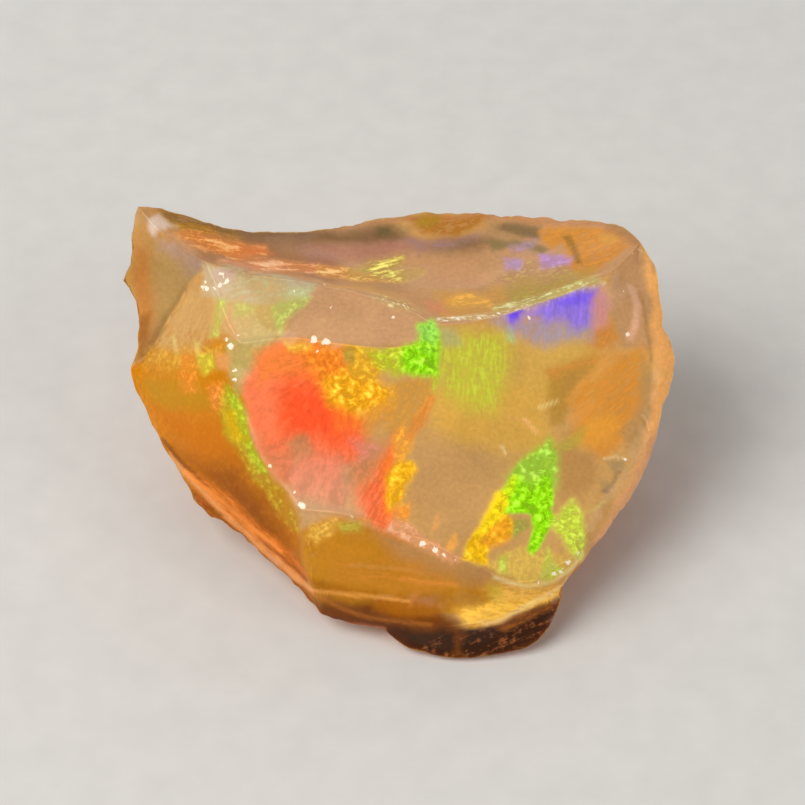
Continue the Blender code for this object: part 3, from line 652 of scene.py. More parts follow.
# The haze of the long front slope, greyer in the middle, cloudy orange to the right.
SLOPE_SHEETS = {
    "upper_front": ("slope", "#D0AA52", 0.8, 0.6, (
        (1.35, 2.8), (7.2, 3.0), (7.2, 0.25), (1.35, 0.1),
    )),
    "olive_middle": ("slope", "#D8AC4C", 0.8, 0.6, (
        (0.8, 0.65), (5.2, 0.65), (5.45, -1.9), (3.55, -2.45), (1.0, -1.0),
    )),
    "grey_middle": ("slope", "#C29A62", 0.9, 0.5, (
        (0.1, -1.35), (4.25, -1.75), (3.2, -3.55), (2.45, -5.2), (0.8, -4.8), (0.25, -2.8),
    )),
    "tan_curtain": ("any", "#D09A40", 0.8, 0.16, (
        (-0.4, 0.75), (1.1, 0.95), (0.8, -0.4), (-0.1, -1.35), (-0.55, -1.05),
    ), ("#E4AC50", 0.6, 0.4, 0.4, 64)),
    "smoke_middle": ("slope", "#B8903E", 0.9, 0.25, (
        (5.2, 1.1), (6.9, 1.7), (7.2, 1.35), (6.45, 0.65), (5.8, -0.65), (5.3, -0.8),
        (5.15, 0.25),
    )),
    "smoke_low": ("any", "#B48A50", 0.8, 0.3, (
        (5.3, -1.8), (6.15, -1.5), (6.9, -1.8), (7.05, -2.8), (6.25, -3.35), (5.6, -3.2),
    )),
    "cloud_right": ("slope", "#D4933C", 1.0, 0.34, (
        (6.25, 0.65), (6.75, 1.1), (7.35, 1.45), (8.05, 1.9), (8.7, 2.15), (9.05, 1.1),
        (8.8, 0.0), (8.25, -1.05), (7.25, -2.15), (6.8, -1.6), (6.0, -1.35), (6.3, -0.55),
        (5.95, 0.0),
    ), ("#E4A04C", 0.66, 0.3, 0.2, 40)),
    "cloud_arc": ("slope", "#E2A456", 0.4, 0.14, (
        (5.8, 0.15), (6.25, 0.65), (6.9, 1.35), (7.6, 1.85), (8.25, 2.05), (8.35, 1.85),
        (7.7, 1.6), (7.1, 1.1), (6.45, 0.5), (6.0, 0.0),
    )),
    "cloud_arc_low": ("slope", "#DC9E4C", 0.5, 0.14, (
        (5.95, -0.65), (6.3, -0.2), (6.75, 0.15), (7.05, 0.1), (6.65, -0.35), (6.25, -0.8),
    )),
    "cloud_rift": ("slope", "#B88C46", 0.6, 0.18, (
        (5.6, 0.8), (6.1, 1.1), (6.8, 1.4), (6.9, 1.25), (6.3, 0.8), (5.8, 0.3),
    )),
    "cloud_grain": ("slope", "#D8973E", 0.8, 0.2, (
        (6.8, -1.0), (7.75, -0.8), (8.2, -1.05), (7.4, -2.0), (6.9, -1.65),
    ), ("#ECB25C", 0.66, 0.4, 0.8, 60)),
    "cloud_shred": ("slope", "#CE9242", 0.9, 0.2, (
        (5.0, 1.1), (5.8, 1.45), (6.9, 1.75), (7.9, 1.7), (7.05, 1.4), (5.95, 1.1), (5.45, 0.8),
    ), ("#E0A050", 0.6, 0.5, 0.3, 22)),
    "cloud_bright": ("slope", "#E2A23E", 0.8, 0.3, (
        (6.55, -0.65), (7.4, -0.35), (7.85, -0.8), (7.35, -1.45), (6.4, -1.45),
    )),
    "cloud_dusk": ("any", "#B8925C", 0.8, 0.2, (
        (8.65, 1.7), (9.2, 1.1), (9.05, -0.65), (8.2, -1.6), (7.85, -1.15), (8.55, -0.05),
    )),
    "amber_patch": ("slope", "#CC8A3E", 0.9, 0.3, (
        (6.75, 2.7), (7.55, 3.0), (8.0, 2.25), (7.25, 1.75), (6.6, 2.0),
    ), ("#E0A050", 0.7, 0.4, 0.5, 70)),
}
FOOT_OUTLINE = (
    (1.65, -8.15), (3.55, -7.9), (4.0, -7.6), (5.8, -6.95), (5.75, -8.65), (3.75, -9.65),
    (0.65, -9.45), (0.0, -8.95),
)
# The step under the slope, its ledge, and the dark foot. The low front and the foot are painted
# darker towards the board, partly their own dark brown and partly painted shade.
STEP_SHEETS = {
    "front_step": ("step", "#BE8420", 1.0, 0.1, (
        (-3.6, -4.0), (-2.1, -4.15), (-0.1, -4.8), (2.15, -5.75), (4.25, -6.55), (6.25, -6.35),
        (7.4, -5.0), (6.25, -7.1), (2.8, -7.6), (-0.1, -7.35), (-3.05, -7.4), (-3.6, -5.75),
    )),
    "step_dusk": ("any", "#B48A56", 0.9, 0.4, (
        (-0.95, -4.6), (1.0, -5.05), (3.55, -6.05), (5.6, -6.35), (4.25, -6.55), (2.15, -6.4),
        (-0.1, -5.6),
    )),
    "step_orange": ("step", "#BE7E28", 0.6, 0.5, (
        (-2.65, -5.45), (0.65, -5.6), (1.8, -6.1), (1.35, -6.9), (-0.8, -6.75), (-2.4, -6.55),
    ), ("#E09440", 0.5, 0.22, 0.0, -3)),
    "step_foot": ("step", "#A86A0C", 0.8, 0.2, (
        (-3.5, -6.25), (-2.25, -6.55), (0.25, -6.8), (2.1, -6.9), (1.75, -7.25), (-0.1, -7.1),
        (-3.05, -6.9),
    )),
    "step_gold": ("any", "#DCAC48", 0.95, 0.16, (
        (-3.3, -4.35), (-2.5, -4.05), (-2.1, -4.15), (-2.55, -4.7), (-3.05, -5.05),
        (-3.45, -4.95),
    ), ("#F8D064", 0.75, 0.9, 0.7, 30)),
    "step_grey": ("any", "#C8A274", 0.9, 0.14, (
        (-3.75, -3.7), (-3.05, -3.75), (-2.65, -4.0), (-3.2, -4.35), (-3.6, -4.65),
    )),
    "step_green": ("any", "#B8AE40", 0.85, 0.14, (
        (-2.35, -4.35), (-1.35, -4.15), (-1.45, -4.55), (-2.15, -4.65),
    ), ("#D0CC58", 0.7, 0.5, 0.5, 10)),
    "step_right": ("any", "#ECBC58", 0.9, 0.25, (
        (2.8, -6.65), (4.0, -6.4), (5.75, -6.45), (6.25, -6.25), (5.95, -6.9), (4.25, -7.1),
        (3.05, -7.25),
    ), ("#E0B460", 0.6, 0.35, 0.1, 8)),
    "step_lime": ("any", "#C4A638", 0.7, 0.18, (
        (2.95, -6.4), (3.6, -6.45), (3.6, -7.05), (3.05, -7.2),
    )),
    "low_front": ("any", "#74400C", 1.0, 0.3, (
        (-3.5, -7.05), (-0.1, -7.2), (1.2, -7.35), (2.45, -8.05), (1.8, -8.65), (0.45, -9.2),
        (-0.8, -8.45), (-2.8, -7.85),
    )),
    # painted shade: the low front painted darker towards the board, darker still in low_shadow
    "low_front_painted_shade": ("any", "#40200A", 0.9, 0.25, (
        (-2.65, -7.75), (-0.1, -7.9), (1.35, -8.4), (0.45, -9.2), (-0.8, -8.55), (-2.65, -8.05),
    )),
    "low_edge": ("any", "#B46C40", 0.8, 0.07, (
        (-2.65, -7.75), (-0.6, -8.0), (-0.55, -8.2), (-2.65, -7.9),
    )),
    "low_shadow": ("any", "#3C2612", 0.95, 0.2, (
        (0.05, -8.15), (1.65, -8.0), (1.65, -8.85), (0.35, -8.95),
    )),
    "low_glow": ("any", "#A46C14", 0.8, 0.25, (
        (0.05, -6.65), (1.75, -6.75), (1.75, -7.4), (0.25, -7.25),
    )),
    # painted shade: the ledges face up and take more light, so they are painted darker
    "ledge_painted_shade": ("any", "#A4640A", 0.85, 0.16, (
        (-1.1, -6.9), (-0.1, -6.8), (1.15, -6.95), (1.35, -7.55), (0.05, -7.65), (-1.05, -7.45),
    )),
    "ledge_painted_shade_right": ("any", "#B07814", 0.8, 0.2, (
        (1.6, -6.75), (3.05, -6.65), (3.25, -7.25), (2.45, -7.55), (1.6, -7.4),
    )),
    "step_line": ("any", "#E8A854", 0.6, 0.05, (
        (-3.3, -6.65), (-2.25, -6.75), (-1.0, -6.85), (0.25, -7.0), (0.25, -7.1), (-1.0, -7.0),
        (-2.25, -6.9), (-3.3, -6.8),
    )),
    "step_line_low": ("any", "#B87430", 0.45, 0.05, (
        (-3.2, -6.8), (-2.25, -7.25), (-1.2, -7.6), (-0.1, -7.75), (1.05, -7.8), (1.05, -7.95),
        (-0.1, -7.85), (-1.25, -7.75), (-2.25, -7.4), (-3.2, -6.95),
    )),
    "step_mark": ("any", "#D08840", 0.4, 0.06, (
        (0.25, -6.75), (0.65, -6.65), (0.6, -6.85), (0.4, -6.95), (0.35, -7.3), (0.2, -7.3),
    )),
    "step_streak": ("any", "#DC9240", 0.6, 0.06, (
        (-0.15, -6.2), (1.0, -6.3), (1.95, -6.4), (1.95, -6.55), (1.0, -6.45), (-0.15, -6.3),
    )),
    "step_streak_high": ("any", "#C89450", 0.5, 0.06, (
        (-1.85, -5.75), (-0.45, -5.8), (0.8, -6.0), (0.8, -6.1), (-0.45, -5.9), (-1.85, -5.85),
    )),
    "lobe": ("any", "#FBC94C", 1.0, 0.22, (
        (1.85, -7.4), (2.8, -7.2), (3.55, -7.05), (5.05, -6.8), (5.65, -6.75), (5.3, -7.25),
        (4.25, -7.65), (3.2, -7.95), (2.3, -7.9),
    ), ("#F6CE80", 0.6, 0.4, 0.1, -8)),
    # painted shade over the foot's own dark brown
    "foot_shade": ("any", "#3C210E", 1.0, 0.1, FOOT_OUTLINE),
    "foot": ("any", "#3E2410", 1.0, 0.1, FOOT_OUTLINE, ("#A8683A", 0.7, 0.8, 0.4, 25)),
    "foot_amber": ("any", "#94581A", 0.95, 0.1, (
        (3.1, -7.9), (5.0, -7.2), (5.6, -7.05), (5.3, -7.4), (4.25, -7.9), (3.55, -8.2),
    ), ("#A8681C", 0.6, 0.5, 0.2, 20)),
    "foot_post": ("any", "#74400F", 0.95, 0.14, (
        (1.85, -8.05), (2.3, -8.2), (2.1, -8.65), (2.15, -9.05), (1.85, -9.05), (1.9, -8.55),
    )),
    "foot_rim": ("any", "#8E4C28", 0.8, 0.07, (
        (0.0, -8.95), (1.35, -9.2), (3.55, -9.3), (5.0, -8.5), (5.45, -7.9), (5.6, -8.25),
        (3.55, -9.65), (0.65, -9.6),
    )),
    # painted highlight: a pale line along the lobe's edge
    "lobe_painted_highlight": ("any", "#F2DAA6", 0.42, 0.08, (
        (2.75, -7.75), (3.1, -7.75), (3.55, -7.6), (4.25, -7.2), (5.15, -6.75), (6.0, -6.3),
        (6.05, -6.45), (5.2, -6.95), (4.3, -7.45), (3.55, -7.8), (3.1, -7.9), (2.8, -7.9),
    )),
}
# The right rim, and the painted lines of light and shade along lips, creases and pits.
EDGE_SHEETS = {
    # painted glow: the thin right rim painted lighter, as light shining through it
    "rim": ("any", "#EAB06A", 1.0, 0.18, (
        (8.75, 6.35), (10.1, 4.1), (10.25, 0.8), (9.35, -1.9), (7.35, -5.2), (6.15, -6.8),
        (7.2, -4.55), (8.65, -1.75), (9.15, 0.8), (9.0, 3.75), (8.65, 5.55),
    )),
    "rim_face": ("any", "#BE946A", 0.8, 0.18, (
        (7.6, 5.1), (8.65, 5.9), (9.05, 3.75), (9.0, 2.1), (8.0, 1.9), (7.6, 3.35),
    )),
    "rim_edge": ("any", "#CE9E74", 0.9, 0.18, (
        (9.5, -0.65), (9.65, -1.35), (8.65, -3.2), (7.2, -5.6), (6.25, -6.75), (6.9, -5.0),
        (8.15, -2.95), (8.95, -1.35),
    )),
    "rim_top": ("any", "#A67C50", 0.9, 0.25, (
        (7.4, 6.65), (8.95, 6.4), (9.5, 5.35), (9.2, 4.75), (8.8, 5.55), (8.0, 6.05),
    )),
    "sliver": ("any", "#7A3C10", 1.0, 0.12, (
        (-8.45, -2.8), (-7.0, -3.55), (-4.45, -5.45), (-3.15, -7.4), (-4.1, -7.2), (-6.8, -5.2),
    ), ("#D07A34", 0.45, 0.5, 0.0, -38)),
    "cheek_stripe": ("any", "#C87018", 1.0, 0.14, (
        (-7.95, -2.45), (-7.15, -2.75), (-6.2, -3.45), (-5.05, -4.55), (-4.0, -5.35),
        (-3.35, -6.4), (-3.75, -6.35), (-5.1, -5.3), (-6.4, -4.15), (-7.6, -3.15),
    ), ("#F49C44", 0.75, 0.35, 0.0, -40)),
    # painted highlight along a dent
    "glint_dent": ("any", "#DCB090", 0.8, 0.09, (
        (8.2, 4.35), (8.5, 4.15), (8.65, 3.45), (8.6, 2.8), (8.3, 2.25), (8.1, 2.2), (8.3, 2.85),
        (8.4, 3.6),
    )),
    "rim_crease": ("any", "#A47844", 0.5, 0.05, (
        (8.7, 4.05), (8.85, 3.35), (8.95, 2.45), (9.05, 1.45), (8.95, 1.45), (8.85, 2.4),
        (8.75, 3.35), (8.6, 4.0),
    )),
    "lip_frost": ("any", "#C8BC70", 0.8, 0.1, (
        (3.2, 3.5), (4.65, 3.8), (5.75, 4.15), (7.05, 4.65), (7.2, 4.4), (5.85, 3.85),
        (4.65, 3.5), (3.25, 3.25),
    ), ("#F0F0C0", 0.68, 1.0, 0.3, 18)),
    "lip_line": ("any", "#DCC48C", 0.6, 0.05, (
        (1.2, 3.05), (2.45, 3.2), (3.55, 3.3), (4.25, 3.45), (5.75, 3.85), (7.35, 4.45),
        (7.35, 4.25), (5.75, 3.65), (4.25, 3.25), (3.55, 3.05), (2.45, 2.95), (1.2, 2.85),
    ), ("#FFF8DC", 0.86, 0.9, 0.45, 8)),
    "lower_lip": ("any", "#ECDCA4", 0.7, 0.05, (
        (3.2, -6.15), (3.9, -6.35), (4.55, -6.45), (5.35, -6.25), (5.95, -5.85), (6.45, -5.35),
        (6.5, -5.45), (6.0, -6.0), (5.35, -6.4), (4.55, -6.55), (3.85, -6.45), (3.2, -6.25),
    )),
    "cheek_crease": ("any", "#E8A464", 0.75, 0.07, (
        (-8.55, -1.8), (-7.35, -3.05), (-6.2, -4.15), (-5.05, -5.15), (-3.85, -6.15),
        (-3.15, -6.75), (-3.2, -6.9), (-4.0, -6.35), (-5.2, -5.35), (-6.35, -4.3), (-7.5, -3.2),
        (-8.6, -2.0),
    )),
    "ridge_dark": ("any", "#6E3606", 0.6, 0.05, (
        (-8.8, -1.25), (-7.95, -2.2), (-6.4, -3.65), (-4.95, -4.9), (-3.4, -6.35), (-3.45, -6.45),
        (-4.95, -5.05), (-6.45, -3.8), (-8.0, -2.35), (-8.9, -1.35),
    )),
    "ridge_glow": ("any", "#FA9C44", 0.7, 0.06, (
        (-7.95, -2.4), (-6.85, -3.25), (-5.45, -4.45), (-4.3, -5.35), (-4.35, -5.5),
        (-5.45, -4.65), (-6.9, -3.45), (-8.0, -2.55),
    )),
    "fan_arris": ("any", "#F6BE9C", 0.6, 0.05, (
        (-5.95, 0.35), (-5.45, -0.6), (-4.95, -1.9), (-4.35, -2.7), (-3.65, -3.6), (-3.75, -3.75),
        (-4.4, -2.8), (-5.05, -2.0), (-5.6, -0.65), (-6.0, 0.25),
    )),
    "grey_pits": ("any", "#A89064", 0.7, 0.08, (
        (7.35, -2.1), (8.0, -2.05), (7.95, -2.4), (7.55, -2.5),
    )),
    "grey_pit_low": ("any", "#AC9060", 0.7, 0.08, (
        (7.1, -2.75), (7.45, -2.85), (7.4, -3.25), (7.15, -3.2),
    )),
    "pit_crack": ("any", "#8C7450", 0.6, 0.05, (
        (7.75, -2.4), (7.85, -2.45), (7.6, -2.95), (7.35, -3.3), (7.1, -3.2), (7.3, -3.1),
        (7.5, -2.85), (7.65, -2.55),
    )),
    "pit_light": ("any", "#E8D4A4", 0.5, 0.05, (
        (7.2, -2.0), (7.6, -1.9), (8.05, -2.0), (8.05, -2.05), (7.6, -2.0), (7.2, -2.1),
    )),
    "rim_hair": ("any", "#CCB864", 0.6, 0.05, (
        (6.5, -3.9), (6.9, -3.7), (7.35, -3.5), (7.35, -3.6), (6.95, -3.8), (6.55, -4.0),
    )),
}
# The fire of the slope: a red fan, gold embers and column, green, indigo, and a green wedge.
FIRE_SHEETS = {
    "pink_fan": ("fan_side", "#CA8A5A", 1.0, 0.5, (
        (-5.25, -1.35), (-3.75, -1.9), (-1.9, -1.75), (-0.55, -1.35), (-0.8, -2.45),
        (-1.7, -3.25), (-1.9, -4.05), (-3.75, -3.75), (-4.3, -3.1),
    ), ("#EEA078", 1.0, 0.5, 0.35, (-2.1, 1.9))),
    "red_fan": ("under_bevel fan_side", "#F6703C", 1.0, 0.4, (
        (-5.55, 0.65), (-5.1, 1.6), (-4.3, 2.1), (-3.15, 2.15), (-2.4, 0.95), (-1.85, 0.25),
        (-1.55, -0.65), (-1.25, -1.3), (-1.85, -2.25), (-2.8, -2.4), (-3.85, -2.0),
        (-4.75, -1.75), (-5.35, -1.0), (-5.7, 0.0),
    ), ("#FF9468", 1.2, 0.42, 0.45, (-2.1, 1.9))),
    "fan_left": ("fan_side under_bevel", "#F6885A", 0.85, 0.4, (
        (-5.75, 0.1), (-5.35, 1.1), (-4.8, 1.85), (-4.3, 2.05), (-4.1, 1.55), (-4.55, 0.25),
        (-4.4, -1.35), (-5.1, -1.6),
    )),
    "fan_heart": ("fan_side under_bevel", "#FA5C2C", 0.85, 0.5, (
        (-4.1, 0.4), (-2.55, 0.65), (-2.05, -0.25), (-2.25, -1.3), (-3.75, -1.2), (-4.25, -0.5),
    )),
    "fan_top": ("under_bevel", "#F08C40", 0.9, 0.36, (
        (-5.1, 1.7), (-4.3, 2.15), (-3.0, 2.15), (-2.65, 1.45), (-3.45, 1.1), (-4.4, 0.95),
        (-5.1, 0.65),
    )),
    "fan_low": ("fan_side", "#E0865C", 0.85, 0.6, (
        (-5.1, -1.5), (-3.85, -1.35), (-2.05, -1.8), (-1.7, -2.45), (-2.4, -3.05), (-4.25, -3.05),
        (-4.9, -2.15),
    )),
    "smudge": ("fan_side", "#C48A5A", 0.8, 0.22, (
        (-4.2, -1.35), (-3.45, -1.2), (-3.2, -1.8), (-3.8, -2.1),
    )),
    "smudge_low": ("fan_side", "#C89462", 0.8, 0.16, (
        (-2.15, -2.3), (-1.6, -2.15), (-1.75, -2.8), (-2.15, -3.05),
    )),
    "fan_foot": ("any", "#C49A6C", 0.85, 0.3, (
        (-3.75, -3.45), (-2.1, -3.75), (-1.9, -4.05), (-3.05, -4.0), (-3.65, -3.85),
    )),
    "violet_breath": ("any", "#D88A7C", 0.6, 0.25, (
        (-1.9, -1.35), (-1.05, -1.2), (-0.75, -1.65), (-1.45, -2.0),
    ), ("#EC9C98", 0.6, 0.4, 0.5, 30)),
    "fan_orange": ("under_bevel", "#F8922A", 1.0, 0.4, (
        (-3.6, 2.15), (-2.05, 2.05), (-1.75, 0.9), (-2.2, 0.1), (-2.8, 0.3), (-3.3, 1.1),
    ), ("#FFC04A", 1.1, 0.8, 0.75, (-2.1, 1.9))),
    "fan_orange_low": ("under_bevel fan_side", "#F67C2C", 0.9, 0.4, (
        (-2.55, 0.25), (-0.6, -0.2), (-1.35, -1.05), (-2.35, -0.95),
    ), ("#FF9A30", 1.1, 0.4, 0.5, (-2.1, 1.9))),
    "embers": ("under_bevel fan_side", "#F8B41C", 1.0, 0.3, (
        (-2.8, 0.8), (-1.9, 1.2), (-1.1, 0.95), (-0.4, 0.55), (-0.4, -0.05), (-0.95, -0.5),
        (-1.9, -0.4), (-2.65, -0.05),
    ), ("#FFF860", 1.1, 0.8, 0.95, 30)),
    "ember_yellow": ("under_bevel", "#ECB42C", 0.95, 0.18, (
        (-2.05, 2.05), (-0.95, 2.0), (-0.55, 1.35), (-1.05, 0.75), (-1.85, 0.9),
    ), ("#FCE860", 0.95, 0.75, 0.9, 50)),
    "ember_khaki": ("under_bevel", "#B49A40", 0.8, 0.12, (
        (-2.15, 1.9), (-1.7, 1.9), (-1.7, 1.45), (-2.05, 1.4),
    )),
    "embers_fade": ("any", "#D89C40", 0.8, 0.35, (
        (-1.45, -0.4), (-0.4, 0.1), (-0.3, -0.8), (-1.2, -1.2),
    ), ("#EAB048", 0.6, 0.5, 0.6, 50)),
    "crown": ("under_bevel", "#E8B43C", 0.9, 0.1, (
        (-4.3, 2.25), (-3.2, 2.15), (-3.3, 1.9), (-4.0, 1.8),
    ), ("#FFDC60", 0.75, 0.7, 0.6, 10)),
    "red_column": ("any", "#EE7844", 1.0, 0.34, (
        (-1.7, -3.25), (-1.05, -2.6), (-0.6, -1.85), (-0.25, -1.3), (-0.4, -3.2), (-0.25, -4.25),
        (0.2, -4.8), (-0.65, -4.6), (-1.45, -4.15),
    ), ("#FFA078", 1.05, 0.5, 0.3, 60)),
    "column_orange": ("any", "#FC8428", 0.85, 0.3, (
        (-0.65, -2.15), (-0.25, -1.35), (-0.3, -3.2), (-0.15, -4.25), (-0.6, -4.0),
    )),
    "gold_column": ("any", "#F8BC1C", 1.0, 0.16, (
        (-0.55, -2.6), (-0.25, -2.1), (0.35, -2.1), (0.5, -2.45), (0.15, -3.05), (0.0, -3.6),
        (-0.4, -3.85), (-0.55, -3.25),
    ), ("#FFEA4C", 1.0, 0.9, 0.85, 60)),
    "gold_plume": ("any", "#F2AC40", 0.95, 0.12, (
        (-0.4, -1.35), (0.0, -0.8), (0.15, -1.15), (0.4, -1.2), (0.4, -1.6), (0.0, -2.1),
        (-0.3, -2.0),
    ), ("#FFC050", 0.75, 0.9, 0.7, 60)),
    "gold_foot": ("any", "#F6A43C", 0.95, 0.12, (
        (-0.3, -4.25), (-0.1, -3.7), (0.25, -3.5), (0.25, -3.95), (0.0, -4.35),
    ), ("#FFC04C", 0.85, 0.9, 0.7, 60)),
    "orange_thread": ("any", "#E09440", 0.85, 0.1, (
        (1.1, 0.45), (1.2, 0.1), (0.8, -0.8), (0.35, -1.35), (0.0, -1.35), (0.35, -0.65),
        (0.85, 0.15),
    ), ("#F4AC54", 0.78, 0.5, 0.3, 62)),
    "lime_thread": ("any", "#C4C840", 0.9, 0.1, (
        (1.05, 1.05), (1.35, 1.25), (1.3, 0.65), (1.1, 0.25), (1.0, 0.55),
    ), ("#E0EC58", 0.75, 0.7, 0.3, 80)),
    "ember_trail": ("any", "#DCA272", 1.0, 0.12, (
        (-0.6, -4.5), (-0.25, -4.0), (0.35, -4.25), (0.8, -4.8), (1.35, -5.0), (2.25, -5.6),
        (1.75, -5.75), (0.8, -5.3), (0.0, -4.85),
    ), ("#FFD8B0", 0.72, 0.6, 0.85, -30)),
    "trail_streak": ("any", "#E8AC54", 0.9, 0.08, (
        (1.5, -5.2), (1.6, -4.85), (1.9, -4.55), (2.0, -5.0), (1.75, -5.3),
    )),
    "small_flecks": ("any", "#D8A060", 0.8, 0.08, (
        (1.0, -4.5), (1.3, -3.9), (1.35, -4.15), (1.2, -4.55),
    )),
    "green_spread": ("under_bevel", "#C4D030", 0.95, 0.24, (
        (-1.35, 1.85), (-0.1, 2.15), (0.55, 2.15), (0.55, 1.05), (-0.25, 0.95), (-0.8, 1.3),
    ), ("#E4F254", 0.8, 0.9, 0.8, 80)),
    "green_veil": ("slope", "#C8CA40", 0.9, 0.5, (
        (1.3, 2.05), (2.45, 2.55), (3.75, 2.55), (3.85, 1.45), (3.7, 0.45), (3.2, -0.4),
        (2.4, -0.25), (1.6, 0.25), (1.2, 1.1),
    ), ("#E0F464", 0.7, 0.3, 0.25, 90)),
    "veil_mint": ("slope", "#B6B67A", 0.8, 0.2, (
        (1.3, 2.7), (1.95, 2.65), (2.1, 2.05), (1.45, 2.0),
    )),
    "mint_spot": ("slope", "#BACC88", 0.9, 0.1, (
        (3.75, 2.75), (4.0, 2.7), (4.05, 2.05), (3.75, 2.15),
    ), ("#D4F0A8", 0.8, 0.5, 0.3, 88)),
    "green_spark": ("any", "#A0EC10", 1.0, 0.2, (
        (0.0, 1.85), (0.5, 2.15), (0.65, 2.8), (1.05, 2.95), (1.35, 2.4), (1.35, 1.85),
        (1.2, 1.05), (0.55, 0.95), (0.0, 1.1),
    ), ("#D4FF58", 1.15, 1.0, 0.85, 80)),
    "spark_crown": ("any", "#A8E868", 0.8, 0.12, (
        (0.6, 2.65), (1.0, 2.95), (1.35, 2.5), (1.15, 2.05), (0.7, 2.2),
    )),
    "indigo_fade": ("slope", "#AC9CA8", 0.9, 0.34, (
        (3.1, 2.95), (4.25, 3.15), (6.9, 2.95), (6.75, 2.25), (5.2, 2.0), (4.0, 2.35),
    ), ("#B4A8BC", 0.7, 0.3, 0.1, 90)),
    "indigo": ("slope", "#9C82E0", 1.0, 0.28, (
        (3.75, 3.05), (4.0, 3.4), (4.4, 3.45), (4.55, 3.3), (5.2, 3.65), (5.95, 3.95),
        (7.05, 4.15), (6.95, 3.35), (6.8, 2.8), (6.25, 2.65), (5.75, 2.95), (5.2, 2.9),
        (4.85, 3.15), (4.35, 3.2), (4.05, 2.85),
    ), ("#A890FF", 1.2, 0.4, 0.3, 88)),
    "indigo_deep": ("slope", "#7A5CF0", 0.7, 0.2, (
        (5.45, 3.7), (6.1, 3.95), (6.95, 4.05), (6.8, 3.6), (6.0, 3.45), (5.6, 3.5),
    )),
    "indigo_spot": ("slope", "#7052F0", 0.9, 0.12, (
        (3.85, 3.15), (4.05, 3.35), (4.35, 3.35), (4.25, 3.05), (3.9, 2.85),
    )),
    "rose": ("slope", "#D29494", 0.85, 0.25, (
        (6.85, 3.75), (7.15, 4.2), (7.45, 4.15), (7.6, 3.5), (7.35, 2.8), (6.9, 2.65),
    ), ("#E0A0A8", 0.8, 0.3, 0.5, 90)),
    "amber_flank": ("any", "#F6C414", 1.0, 0.12, (
        (3.5, -3.55), (3.9, -4.05), (4.05, -4.3), (3.85, -4.8), (3.2, -5.1), (3.05, -5.45),
        (3.05, -5.85), (2.15, -5.6), (2.35, -4.8), (2.8, -4.25), (3.1, -3.75),
    ), ("#FFF44C", 1.05, 0.85, 0.75, 55)),
    "flank_orange": ("any", "#F49C30", 0.55, 0.2, (
        (2.95, -4.65), (3.35, -4.25), (3.7, -4.05), (4.0, -4.25), (3.75, -4.85), (3.2, -5.15),
        (2.75, -5.0),
    )),
    "wedge_foot": ("any", "#DCBC58", 0.9, 0.18, (
        (3.05, -5.8), (3.55, -5.25), (4.25, -5.1), (5.75, -5.5), (6.25, -5.6), (5.3, -6.35),
        (4.25, -6.45), (3.35, -6.2),
    ), ("#DCC468", 0.66, 0.55, 0.6, 86)),
    "wedge_fleck": ("any", "#C6CC54", 0.9, 0.1, (
        (4.95, -5.85), (5.2, -5.05), (5.35, -5.75), (5.8, -5.95), (5.2, -6.3), (4.85, -6.25),
    ), ("#DCEC70", 0.75, 0.7, 0.6, 86)),
    "wedge_fleck_left": ("any", "#C2CC50", 0.8, 0.1, (
        (3.45, -5.45), (3.75, -5.35), (3.7, -6.1), (3.45, -6.0),
    ), ("#DCF070", 0.8, 0.7, 0.6, 86)),
    "emerald_wedge": ("any", "#A4EE08", 1.0, 0.1, (
        (5.2, -1.5), (5.5, -1.95), (5.35, -2.55), (5.4, -3.55), (5.35, -3.75), (5.5, -4.15),
        (5.2, -4.65), (4.85, -5.25), (4.55, -5.45), (4.4, -5.2), (4.65, -4.5), (4.55, -4.0),
        (4.05, -3.95), (3.55, -3.9), (3.15, -4.0), (3.5, -3.2), (4.05, -2.4), (4.65, -1.9),
    ), ("#CCFF4C", 1.15, 1.0, 0.95, 20)),
    "wedge_top": ("any", "#A8CE44", 1.0, 0.24, (
        (3.75, -2.6), (4.65, -1.65), (5.25, -1.2), (5.65, -1.95), (5.5, -3.05), (5.15, -2.55),
        (4.7, -2.95), (4.25, -2.65),
    ), ("#D8FF74", 0.95, 0.7, 1.0, 20)),
    "wedge_lime": ("any", "#DCF01C", 0.9, 0.12, (
        (3.05, -4.05), (3.45, -3.25), (4.0, -2.55), (4.2, -2.65), (3.85, -3.35), (3.55, -4.0),
    )),
    "wedge_yellow": ("any", "#FFE01C", 0.95, 0.14, (
        (2.6, -4.65), (2.95, -3.85), (3.35, -3.25), (3.6, -3.15), (3.85, -3.55), (3.6, -3.95),
        (3.2, -4.4), (2.85, -4.75),
    )),
    "wedge_gap": ("any", "#A4A24A", 0.9, 0.1, (
        (3.95, -4.15), (4.5, -4.15), (4.55, -4.5), (4.25, -4.65), (3.9, -4.85),
    ), ("#B8DC48", 0.68, 0.6, 0.9, 20)),
    "green_right": ("any", "#D4E44C", 1.0, 0.18, (
        (5.4, -4.3), (5.75, -3.75), (6.15, -3.45), (6.4, -3.9), (6.55, -5.0), (6.35, -5.6),
        (5.95, -5.4), (5.7, -4.85),
    ), ("#E8FF78", 0.92, 1.0, 0.85, 86)),
    "green_breath": ("any", "#B4AA42", 0.7, 0.2, (
        (5.3, -1.6), (5.95, -1.3), (6.6, -0.95), (6.4, -1.45), (5.65, -1.8),
    )),
}
